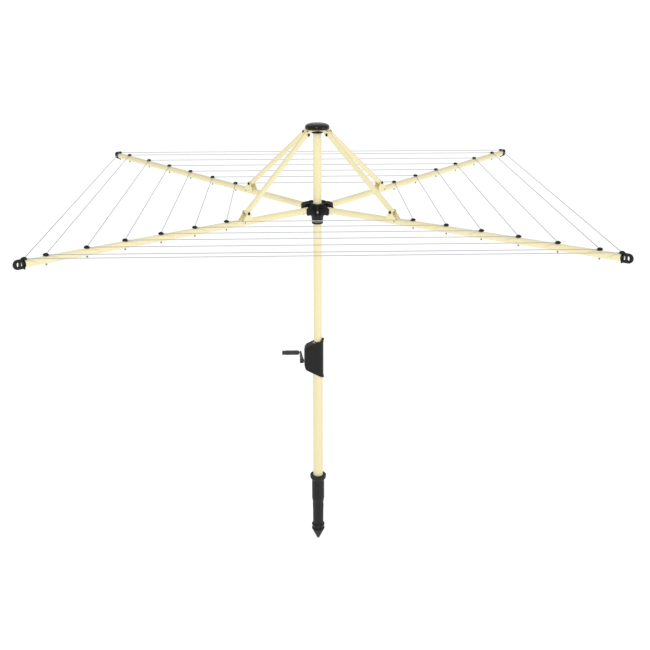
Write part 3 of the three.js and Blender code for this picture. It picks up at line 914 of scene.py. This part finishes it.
def crank_blade(sizes):
    """The crank's arm: a blade with a round end at either eye, a boss and a web behind it."""
    face, back, boss_end = CRANK_LOW.x, CRANK_LOW.x + 8, CRANK_HIGH.x
    waist, middle = 8.6, GRIP_OFFSET / 2
    outline = arc(0, 0, 13, 90, 270, 16) + [(middle, -waist)]
    outline += arc(GRIP_OFFSET, 0, 11, -90, 90, 16) + [(middle, waist)]
    blade = placed(plate(outline, face, back, 2.8, 5), at(0, 0, SHAFT_HEIGHT), CRANK_FACE)
    boss = on_shaft(spun(eased([
        (0, back - 0.5), (12, back - 0.5), (12, boss_end - 1), (11, boss_end), (0, boss_end),
    ], 1.2), 40))
    rim = on_shaft(spun(eased([(0, face + 1), (9.5, face + 1), (8.6, face), (0, face)], 0.6), 40))
    near, far, half = 2, GRIP_OFFSET - 14, 6.5
    web = softened(plate([
        (face + 2, near), (boss_end - 0.6, near), (boss_end - 0.6, 22), (boss_end - 6, 70),
        (boss_end - 9, far), (face + 2, far),
    ], -half, half), 3, 4)
    whole = joined(blade, boss, rim, placed(web, at(0, 0, SHAFT_HEIGHT)))
    bore = CRANK_SHAFT + sizes.clearance / MM
    eyes = on_shaft(rod(bore, -99, -70, 32)), on_grip_pin(rod(bore, -99, -80, 32))
    new_piece("crank_blade", carved(whole, *eyes), "gloss_black", "crank", ["crank_arm"], sharp=26)


def worm_shaft():
    """The shaft that the crank turns, with its collar and a worm drawn as eight rings."""
    start, end, root, crest, pitch = -97, -30, 6.9, 8.9, 3.2
    thread = []
    for turn in range(8):
        x = -56 + turn * pitch
        thread += [(root, x), (crest, x + 0.8), (crest, x + 1.4), (root, x + 2.2)]
    worm = spun([
        (0, start), (CRANK_SHAFT - 0.6, start), (CRANK_SHAFT, start + 0.6), (CRANK_SHAFT, -76),
        (7, -75), (7, -57), *thread, (root, end - 1), (CRANK_SHAFT, end), (0, end),
    ], 40)
    new_piece("worm_shaft", on_shaft(worm), "zinc_steel", "crank", ["crank_shaft"], sharp=28)


def crank_grip(sizes):
    """The grip with its two grooves and flared end, on a pin riveted over at both ends."""
    start, end = -195.5, -86.5
    pin = spun(eased([
        (0, start), (6, start), (8, start + 1.7), (8, start + 4.5), (CRANK_SHAFT, start + 4.5),
        (CRANK_SHAFT, end - 2.5), (7.5, end - 2.5), (7.5, end), (0, end),
    ], 0.8, 3), 40)
    new_piece("grip_rivet", on_grip_pin(pin), "zinc_steel", "crank", ["grip_pin"])

    bore, recess = CRANK_SHAFT + sizes.clearance / MM, 8 + sizes.clearance / MM
    low, high = GRIP_LOW.x, GRIP_HIGH.x
    body = spun(eased([
        (bore, high), (7.6, high), (11.2, high - 2.6), (12.9, high - 9), (12.9, -141),
        (12.3, -142.2), (12.9, -143.4), (13, -147), (12.4, -148.2), (13, -149.4), (13, -178),
        (10.8, -180.5), (10.8, -183), (12.8, -186), (12.2, low + 2), (11.2, low), (recess, low),
        (recess, low + 5), (bore, low + 5),
    ], 1.5, 4), sizes.round_steps)
    new_piece("grip_sleeve", on_grip_pin(body), "grip_plastic", "grip", ["crank_grip"], sharp=40)


# ---------------------------------------------------------------- runner hub


CHEEK_GAP, CHEEK_WALL = 0.4, 4.4      # from an arm's tube to the wall beside it, and the wall
RUNNING = 0.7                         # play of what slides or turns on the upper mast
BOLT_HEAD = 7.5


def both_ways(half):
    """A profile from the middle of a pin to its head, and its mirror image before it."""
    return [(radius, -height) for radius, height in reversed(half)] + half


def cheek(sizes, side):
    """One wall of a clevis that holds an arm's pivot pin."""
    shape = eased([
        (28, -36), (46, -33), (60, -20), (74, -22), (92, -22), (98, -16), (98, 12), (93, 19),
        (76, 26), (58, 32), (49, 31), (40, 26), (28, 24),
    ], 6, 4)
    inner = sizes.arm_radius / MM + CHEEK_GAP
    near, far = sorted((side * inner, side * (inner + CHEEK_WALL)))
    return placed(upright(shape, near, far, sizes.soft_edge / MM), at(0, 0, PIVOT_HEIGHT))


def runner_hub(sizes):
    """A bowl that slides on the mast, with a clevis for each arm."""
    gap, pin, button = sizes.clearance / MM, sizes.pin_radius / MM, 6
    bore, foot, top, bowl = UPPER_HIGH.x + RUNNING, COLLAR_HIGH.z + gap, BOWL_TOP, 36
    shell = spun(eased([
        (bore, foot), (28.2, foot), (29.2, foot + 1.4), (30.6, 1503), (32.4, 1508), (bowl, 1514),
        (bowl, 1526), (bowl - 1, 1527.5), (bowl, 1529), (bowl, top - 9), (32.5, top), (bore, top),
    ], 1.8), sizes.round_steps)
    walls = []
    cuts = [placed(rod(button + gap, -45, -28, 32), at(0, 0, BUTTON_HEIGHT), ALONG_Y)]
    for index in range(ARM_COUNT):
        walls += [placed(cheek(sizes, side), around(index)) for side in (-1, 1)]
        cuts.append(placed(rod(pin + gap, -30, 30), pivot_place(index)))
    hub = carved(joined(shell, *walls), *cuts)
    new_piece("hub_body", hub, "black_plastic", "runner", ["runner_hub"], sharp=30)


def pivot_place(index):
    return around(index) @ at(PIVOT_RADIUS, 0, PIVOT_HEIGHT) @ ALONG_Y


def pivot_rivets(sizes):
    """The pins that the arms fold on, with a flat head outside either cheek."""
    gap, pin, head = sizes.clearance / MM, sizes.pin_radius / MM, 7
    face = sizes.arm_radius / MM + CHEEK_GAP + CHEEK_WALL
    half = [
        (pin, face + gap), (head, face + gap), (head, face + 1.4), (5.6, face + 2.9),
        (0, face + 3.3),
    ]
    for index in range(ARM_COUNT):
        number = index + 1
        rivet = placed(spun(eased(both_ways(half), 0.7, 3), 32), pivot_place(index))
        new_piece(
            f"pivot_rivet_{number}", rivet, "black_plastic", "runner", [f"arm_pivot_pin_{number}"])


def latch_button():
    """The button on the front of the hub that lets it slide; its pale grey is a painted highlight."""
    low, high = corners("hub_latch_button")
    radius = 6
    button = spun(eased([
        (0, low.y), (radius - 1.4, low.y + 0.3), (radius, low.y + 1.8), (radius, high.y), (0, high.y),
    ], 1.1), 40)
    new_piece(
        "latch_button", placed(button, at(0, 0, BUTTON_HEIGHT), ALONG_Y), "button_painted_highlight_grey", "latch",
        ["hub_latch_button"])


# ---------------------------------------------------------------- head


def head_casting(sizes):
    """The painted crown under the cap, with a pair of ears for each strut, and the bolts in them."""
    gap, pin = sizes.clearance / MM, sizes.pin_radius / MM
    inner = sizes.strut_radius / MM + gap
    outer = inner + 3.5
    bore, low, high = UPPER_HIGH.x + RUNNING, BUSH_HIGH.z + 0.4, CAP_LOW.z - gap
    cover = UPPER_HIGH.z + RUNNING
    ear_root, crown_radius = 22, 30
    ear = [(ear_root, low + 0.2), (58, low + 0.2)]
    ear += arc(STRUT_TOP.x, STRUT_TOP.z, 11, -145, 53, 18)
    ear += [(72, high - 0.2), (ear_root, high - 0.2)]
    crown = spun(eased([
        (bore, low), (crown_radius, low), (crown_radius, high), (0.01, high), (0.01, cover),
        (bore, cover),
    ], 0.8, 3), sizes.round_steps)
    parts, holes, bolts = [], [], []
    for index in range(ARM_COUNT):
        # every bolt's head faces the front, and its nut the back
        half_turn = 0 if math.cos(arm_angle(index)) < 0 else math.pi
        pivot = around(index) @ at(STRUT_TOP.x, 0, STRUT_TOP.z)
        bolt_place = pivot @ Matrix.Rotation(half_turn, 4, "Z") @ ALONG_Y
        nut_place = pivot @ Matrix.Rotation(-half_turn, 4, "Z") @ ALONG_Y
        for near, far in ((inner, outer), (-outer, -inner)):
            parts.append(placed(upright(ear, near, far, 0.7, 2), around(index)))
        nut = rod(6.5, outer - 1, outer + 4, 6)
        parts.append(placed(nut, nut_place, Matrix.Rotation(math.pi, 4, "X")))
        holes.append(placed(rod(pin + gap, 0, 30), bolt_place))
        bolts.append(placed(spun(eased([
            (0, inner), (pin, inner), (pin, outer + gap), (BOLT_HEAD, outer + gap),
            (BOLT_HEAD, outer + 3), (5, outer + 5), (0, outer + 5.4),
        ], 0.9, 3), 32), bolt_place))
    new_piece(
        "crown_casting", carved(joined(crown, *parts), *holes), "cream_paint", "head", ["top_casting"])
    for number, bolt in enumerate(bolts, 1):
        new_piece(f"crown_bolt_{number}", bolt, "black_plastic", "head", [f"strut_top_bolt_{number}"])


def head_cap():
    """A low dome of glossy plastic with a turned-in rim."""
    rim, radius, top = CAP_LOW.z, CAP_HIGH.x, CAP_HIGH.z
    cap = spun(eased([
        (0, rim + 2), (54, rim + 2), (57, rim), (61, rim), (radius, rim + 3), (radius, rim + 10),
        (61.2, rim + 15.5), (58, rim + 19.6), (52, rim + 23.4), (44, rim + 26.4), (34, rim + 28.4),
        (20, top - 0.4), (0, top),
    ], 4, 4), 96)
    new_piece("cap_dome", cap, "gloss_black", "head", ["head_cap"], sharp=40)


# ---------------------------------------------------------------- arms


ARM_END = TIP_ON_ARM + 0.5


def knob(x):
    """A line holder's lozenge, with the cord at its widest height."""
    widest = 13
    profile = [
        (0, 13.4), (5.5, 14.2), (12.2, 18.2), (widest, 19.4), (widest, 20.8), (11.6, 22.6),
        (7, 26.2), (5.4, 27), (0, 27),
    ]
    return placed(spun(eased(profile, 1.2, 3), 32), at(x, 0, 0))


def stem(x):
    """The end of a holder's peg, under the arm."""
    radius, end, root = 4, -24, -15
    profile = [(0, end), (radius - 1, end), (radius, end + 2), (radius, root), (0, root)]
    return placed(spun(eased(profile, 0.7, 2), 20), at(x, 0, 0))


def line_tunnels(radius, height):
    """Cutters for the two holes where a line goes into its holder."""
    rise = height - PIVOT_HEIGHT - (radius - PIVOT_RADIUS) * math.tan(ARM_TILT)
    middle = at(on_arm(radius), 0, rise * math.cos(ARM_TILT))
    return [
        placed(
            rod(CORD_RADIUS + 0.4, 4, 40, 12), middle,
            Matrix.Rotation(side * math.radians(135), 4, "Z"), ALONG_X)
        for side in (-1, 1)
    ]


def arm_tube(sizes):
    """A painted tube, round at the pivot end so that it clears the hub as it folds."""
    radius, bore, pin = sizes.arm_radius / MM, sizes.arm_bore / MM, sizes.pin_radius / MM
    past = radius + 1
    profile = [(ARM_END + 1, -past), (ARM_END + 1, past), (0, past)]
    profile += arc(0, 0, radius, 90, 270, 14)
    profile += [(0, -past)]
    whole = placed(tube(radius, bore, -past, ARM_END, steps=40), ALONG_X)
    shaped = common(whole, upright(profile, -20, 20))
    hole = placed(rod(pin + sizes.clearance / MM, -30, 30), ALONG_Y)
    return carved(shaped, hole)


def end_cap(sizes):
    """A plug in the arm's open end, with a flat loop that has two hanger slots."""
    radius, bore, gap = sizes.arm_radius / MM, sizes.arm_bore / MM, sizes.clearance / MM
    start, end = ARM_END + gap, TIP_ON_ARM + 50
    half, thick, flange_edge = 20.5, 8, radius + 0.5
    slot_end, slot_radius = 4.25, 5.25
    loop = [(start + 0.1, -half)] + arc(end - half, 0, half, -90, 90, 28) + [(start + 0.1, half)]
    slots = []
    for middle in (end - 20.6, end - 39.4):
        outline = arc(middle, slot_end, slot_radius, 0, 180, 10)
        outline += arc(middle, -slot_end, slot_radius, 180, 360, 10)
        slots.append(upright(outline, -10, 10))
    flat_loop = carved(upright(loop, -thick / 2, thick / 2, 1.4, 3), *slots)
    flange = placed(spun(eased([
        (0, start), (flange_edge, start), (flange_edge, start + 2.5), (0, start + 2.5),
    ], 0.6, 3), 48), ALONG_X)
    plug = placed(rod(bore - gap, TIP_ON_ARM - 16, start + 1, 48), ALONG_X)
    holder = carved(
        joined(knob(TIP_ON_ARM), stem(TIP_ON_ARM)),
        placed(rod(radius + gap, TIP_ON_ARM - 20, start, 48), ALONG_X))
    body = joined(flat_loop, flange, holder, plug)
    return carved(body, *line_tunnels(TIP_RADIUS, TIP_HEIGHT))


def line_holder(sizes, radius, height):
    """A knob that sits on the arm's tube, with its two line tunnels."""
    x = on_arm(radius)
    seat = placed(rod(sizes.arm_radius / MM + 0.05, -60, 60, 40), at(x, 0, 0), ALONG_X)
    return carved(knob(x), seat, *line_tunnels(radius, height))


def arms(sizes):
    """Four arms, each with its line holders and end cap."""
    inner_lines = LINES[:-1]
    tubing, cap = arm_tube(sizes), end_cap(sizes)
    holders = gathered(*(line_holder(sizes, radius, height) for radius, height, _ in inner_lines))
    stems = gathered(*(stem(on_arm(radius)) for radius, _, _ in inner_lines))
    for index in range(ARM_COUNT):
        number, place = index + 1, arm_frame(index)
        arm = f"arm_{number}"
        new_piece(f"arm_tube_{number}", placed(tubing.copy(), place), "cream_paint", arm, [arm])
        new_piece(
            f"line_holders_{number}", placed(holders.copy(), place), "black_plastic", arm, [arm])
        new_piece(
            f"holder_stems_{number}", placed(stems.copy(), place), "stem_grey", arm, [arm])
        new_piece(
            f"end_cap_{number}", placed(cap.copy(), place), "black_plastic", arm,
            [f"arm_end_cap_{number}"], sharp=28)
    for mesh in (tubing, cap, holders, stems):
        mesh.free()


# ---------------------------------------------------------------- struts


BRACKET_WALL = 2


def bracket_walls(sizes):
    """The inner and the outer face of a bracket's ears, measured from the arm's middle."""
    inner = (sizes.arm_radius + sizes.clearance) / MM
    return inner, inner + BRACKET_WALL


def strut_bracket(sizes):
    """A folded saddle over the arm, with two ears for the strut's foot."""
    inner, outer = bracket_walls(sizes)
    start, end, skirt = FOOT.x - 26, FOOT.x + 34, -4
    ear = [(start, skirt), (end, skirt), (end, 14)]
    ear += arc(FOOT.x, FOOT.z, 12, -14, 180, 18)
    ear += [(start, outer)]
    saddle = block(start + 0.1, end - 0.1, -inner - 1, inner + 1, inner, outer - 0.1)
    body = joined(
        upright(ear, inner, outer, 0.5, 2), upright(ear, -outer, -inner, 0.5, 2),
        softened(saddle, 0.4, 2))
    hole = rod((sizes.pin_radius + sizes.clearance) / MM, -30, 30)
    return carved(body, placed(hole, at(FOOT.x, 0, FOOT.z), ALONG_Y))


def bracket_rivets(sizes):
    """The rivet heads that fix a bracket to its arm, one on each side."""
    _, outer = bracket_walls(sizes)
    radius = 4
    head = [
        (0, outer - 1), (radius, outer - 1), (radius, outer + 0.6), (2.6, outer + 1.5),
        (0, outer + 1.5),
    ]
    place = at(FOOT.x + 24, 0, 2)
    return gathered(*(
        placed(spun(eased(head, 0.6, 3), 24), place, Matrix.Rotation(side, 4, "Z"), ALONG_Y)
        for side in (0, math.pi)))


def foot_bolt(sizes):
    """A bolt through the strut's foot, with spacers beside the strut and domed heads."""
    gap, pin, spacer = sizes.clearance / MM, sizes.pin_radius / MM, 7
    inner, face = sizes.strut_radius / MM + gap, sizes.arm_radius / MM
    _, outer = bracket_walls(sizes)
    half = [
        (pin, inner), (spacer, inner), (spacer, face), (pin, face), (pin, outer + gap),
        (BOLT_HEAD, outer + gap), (BOLT_HEAD, outer + 2.6), (5, outer + 4.6), (0, outer + 5),
    ]
    bolt = spun(eased(both_ways(half), 0.7, 3), 32)
    return placed(bolt, at(FOOT.x, 0, FOOT.z), ALONG_Y)


def strut_tube(sizes, span):
    """A painted tube with both ends cut round about their bolts."""
    radius, bore = sizes.strut_radius / MM, sizes.strut_bore / MM
    outline = arc(0, 0, radius, 90, 270, 14) + arc(span, 0, radius, -90, 90, 14)
    whole = placed(tube(radius, bore, -radius - 1, span + radius + 1, steps=36), ALONG_X)
    hole = sizes.pin_radius / MM + sizes.clearance / MM
    holes = [placed(rod(hole, -20, 20), at(x, 0, 0), ALONG_Y) for x in (0, span)]
    return carved(common(whole, upright(outline, -20, 20)), *holes)


def struts(sizes):
    """Four struts from the arms up to the head, with their brackets and foot bolts."""
    foot = around(0).inverted() @ arm_frame(0) @ FOOT
    rise = STRUT_TOP - foot
    lean = at(*foot) @ Matrix.Rotation(-math.atan2(rise.z, rise.x), 4, "Y")
    bracket, rivets, bolt = strut_bracket(sizes), bracket_rivets(sizes), foot_bolt(sizes)
    tubing = strut_tube(sizes, rise.length)
    for index in range(ARM_COUNT):
        number, place = index + 1, arm_frame(index)
        arm, strut, bracket_node = f"arm_{number}", f"strut_{number}", f"strut_bracket_{number}"
        new_piece(
            f"bracket_{number}", placed(bracket.copy(), place), "cream_paint", arm, [bracket_node],
            sharp=28)
        new_piece(
            f"bracket_rivets_{number}", placed(rivets.copy(), place), "stem_grey", arm,
            [bracket_node])
        new_piece(
            f"foot_bolt_{number}", placed(bolt.copy(), place), "black_plastic", arm,
            [f"strut_foot_bolt_{number}"])
        leaning = placed(tubing.copy(), around(index), lean)
        new_piece(f"strut_tube_{number}", leaning, "cream_paint", strut, [strut])
    for mesh in (bracket, rivets, bolt, tubing):
        mesh.free()


# ---------------------------------------------------------------- lines


def lines():
    """Seven square lines, each in eight lengths that run from a corner to midway between two arms.

    A length rides on its arm.
    """
    for index in range(ARM_COUNT):
        arm = f"arm_{index + 1}"
        for number, (radius, height, cord) in enumerate(LINES, 1):
            corner = around(index) @ at(radius, 0, height)
            for side, letter in ((-1, "a"), (1, "b")):
                heading = Matrix.Rotation(side * math.radians(135), 4, "Z") @ ALONG_X
                half = placed(rod(cord, 0, radius / math.sqrt(2), CORD_FACES), corner, heading)
                piece = new_piece(
                    f"line_{number}_{arm}_{letter}", half, "line_cord", arm, [f"line_{number}"])
                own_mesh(piece)


# ---------------------------------------------------------------- inside and stage


def inside_parts():
    """The pieces inside the winder and the masts keep their own shape, and take a finish."""
    for node, finish in (
        ("lift_gear", "zinc_steel"), ("gear_pin", "zinc_steel"), ("lift_rack", "zinc_steel"),
        ("mast_foot_bush", "nylon"),
    ):
        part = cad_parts[node]
        part.data.materials.clear()
        part.data.materials.append(material(finish))


WHITE = (1.0, 1.0, 1.0, 1.0)
LIT_PLACE = Vector((0, 0, 1.1))      # in metres, about the middle of the mast


def add_floor(settings):
    """A disk wide enough to reach the horizon, just under the object."""
    radius, gap = 150.0, 0.002
    bm = bmesh.new()
    bmesh.ops.create_circle(bm, cap_ends=True, segments=96, radius=radius)
    bmesh.ops.translate(bm, vec=(0, 0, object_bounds()[0].z - gap), verts=bm.verts)
    finish = bpy.data.materials.new("floor")
    finish.use_nodes = True
    shader = finish.node_tree.nodes["Principled BSDF"]
    shader.inputs["Base Color"].default_value = settings.floor_colour
    shader.inputs["Roughness"].default_value = 0.9
    shader.inputs["Specular IOR Level"].default_value = 0.0
    shader.inputs["Emission Color"].default_value = WHITE
    shader.inputs["Emission Strength"].default_value = settings.floor_glow
    mesh = mesh_of(bm, "floor")
    mesh.materials.append(finish)
    floor = in_scene("floor", mesh)
    floor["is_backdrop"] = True


def add_light(name, place, size, power):
    """A soft round light that faces the middle of the clothesline."""
    data = bpy.data.lights.new(name, "AREA")
    data.shape = "DISK"
    data.size = size
    data.energy = power
    light = in_scene(name, data)
    light.location = place
    light.rotation_euler = (LIT_PLACE - Vector(place)).to_track_quat("-Z", "Y").to_euler()


def add_camera(settings):
    data = bpy.data.cameras.new("camera")
    data.lens = settings.lens
    data.clip_end = 400
    camera = in_scene("camera", data)
    camera.location = settings.camera_place
    camera.rotation_euler = settings.camera_turn
    bpy.context.scene.camera = camera


def stage(settings):
    """A pale floor under an even white sky, with two large soft lights and the camera."""
    scene = bpy.context.scene
    scene.view_settings.view_transform = "Standard"
    world = bpy.data.worlds.new("studio")
    world.use_nodes = True
    sky = world.node_tree.nodes["Background"]
    sky.inputs["Color"].default_value = WHITE
    # the sky lights at its own strength, and looks white where it is seen past the floor
    seen = world.node_tree.nodes.new("ShaderNodeLightPath").outputs["Is Camera Ray"]
    strength = math_node(world.node_tree, "MULTIPLY_ADD", seen, 1 - settings.sky, settings.sky)
    world.node_tree.links.new(strength, sky.inputs["Strength"])
    scene.world = world
    add_floor(settings)
    add_light("key", (-0.6, -4.2, 4.9), 1.6, settings.key)
    add_light("fill", (3.6, -2.2, 2.6), 2.2, settings.fill)
    add_camera(settings)


# ---------------------------------------------------------------- operators


class PieceOperator:
    """What every operator of the clothesline shares."""

    bl_options = {"REGISTER", "UNDO"}

    def execute(self, context):
        self.make(context.scene)
        return {"FINISHED"}


class CLOTHESLINE_OT_ground_socket(PieceOperator, bpy.types.Operator):
    """Build the ground socket"""

    bl_idname = "clothesline.ground_socket"
    bl_label = "Ground Socket"

    def make(self, scene):
        ground_socket(scene.clothesline_sizes)


class CLOTHESLINE_OT_masts(PieceOperator, bpy.types.Operator):
    """Build the two mast tubes with their bushes and collar"""

    bl_idname = "clothesline.masts"
    bl_label = "Masts"

    def make(self, scene):
        masts(scene.clothesline_sizes)


class CLOTHESLINE_OT_winder(PieceOperator, bpy.types.Operator):
    """Build the winder's housing and its screws"""

    bl_idname = "clothesline.winder"
    bl_label = "Winder Housing"

    def make(self, scene):
        winder_housing(scene.clothesline_sizes)
        winder_screws(scene.clothesline_sizes)


class CLOTHESLINE_OT_crank(PieceOperator, bpy.types.Operator):
    """Build the crank, its shaft and its grip"""

    bl_idname = "clothesline.crank"
    bl_label = "Crank"

    def make(self, scene):
        crank_blade(scene.clothesline_sizes)
        worm_shaft()
        crank_grip(scene.clothesline_sizes)


class CLOTHESLINE_OT_runner_hub(PieceOperator, bpy.types.Operator):
    """Build the sliding hub, its pivot rivets and its latch button"""

    bl_idname = "clothesline.runner_hub"
    bl_label = "Runner Hub"

    def make(self, scene):
        runner_hub(scene.clothesline_sizes)
        pivot_rivets(scene.clothesline_sizes)
        latch_button()


class CLOTHESLINE_OT_head(PieceOperator, bpy.types.Operator):
    """Build the crown casting, its bolts and the cap"""

    bl_idname = "clothesline.head"
    bl_label = "Head"

    def make(self, scene):
        head_casting(scene.clothesline_sizes)
        head_cap()


class CLOTHESLINE_OT_arms(PieceOperator, bpy.types.Operator):
    """Build the four arms with their line holders and end caps"""

    bl_idname = "clothesline.arms"
    bl_label = "Arms"

    def make(self, scene):
        arms(scene.clothesline_sizes)


class CLOTHESLINE_OT_struts(PieceOperator, bpy.types.Operator):
    """Build the four struts with their brackets and bolts"""

    bl_idname = "clothesline.struts"
    bl_label = "Struts"

    def make(self, scene):
        struts(scene.clothesline_sizes)


class CLOTHESLINE_OT_lines(PieceOperator, bpy.types.Operator):
    """Build the seven square lines"""

    bl_idname = "clothesline.lines"
    bl_label = "Lines"

    def make(self, scene):
        lines()


class CLOTHESLINE_OT_inside_parts(PieceOperator, bpy.types.Operator):
    """Give the parts inside the winder their finish"""

    bl_idname = "clothesline.inside_parts"
    bl_label = "Inside Parts"

    def make(self, scene):
        inside_parts()


class CLOTHESLINE_OT_stage(PieceOperator, bpy.types.Operator):
    """Add the floor, the lights and the camera"""

    bl_idname = "clothesline.stage"
    bl_label = "Stage"

    def make(self, scene):
        stage(scene.clothesline_stage)


OPERATORS = (
    CLOTHESLINE_OT_ground_socket,
    CLOTHESLINE_OT_masts,
    CLOTHESLINE_OT_winder,
    CLOTHESLINE_OT_crank,
    CLOTHESLINE_OT_runner_hub,
    CLOTHESLINE_OT_head,
    CLOTHESLINE_OT_arms,
    CLOTHESLINE_OT_struts,
    CLOTHESLINE_OT_lines,
    CLOTHESLINE_OT_inside_parts,
    CLOTHESLINE_OT_stage,
)
SETTINGS = {
    "clothesline_sizes": ClotheslineSizes,
    "clothesline_colours": ClotheslineColours,
    "clothesline_stage": ClotheslineStage,
}


class CLOTHESLINE_PT_sidebar(bpy.types.Panel):
    """Lists the clothesline's settings and operators"""

    bl_idname = "CLOTHESLINE_PT_sidebar"
    bl_label = "Rotary Clothesline"
    bl_space_type = "VIEW_3D"
    bl_region_type = "UI"
    bl_category = "Clothesline"

    def draw(self, context):
        for name, group in SETTINGS.items():
            box = self.layout.box()
            for prop in group.__annotations__:
                box.prop(getattr(context.scene, name), prop)
        for operator in OPERATORS:
            self.layout.operator(operator.bl_idname)


def register():
    for name, group in SETTINGS.items():
        bpy.utils.register_class(group)
        setattr(bpy.types.Scene, name, PointerProperty(type=group))
    for operator in OPERATORS:
        bpy.utils.register_class(operator)
    bpy.utils.register_class(CLOTHESLINE_PT_sidebar)


def unregister():
    bpy.utils.unregister_class(CLOTHESLINE_PT_sidebar)
    for operator in reversed(OPERATORS):
        bpy.utils.unregister_class(operator)
    for name, group in SETTINGS.items():
        delattr(bpy.types.Scene, name)
        bpy.utils.unregister_class(group)


def main():
    register()
    for operator in OPERATORS:
        group, name = operator.bl_idname.split(".")
        getattr(getattr(bpy.ops, group), name)()


if __name__ == "__main__":
    main()
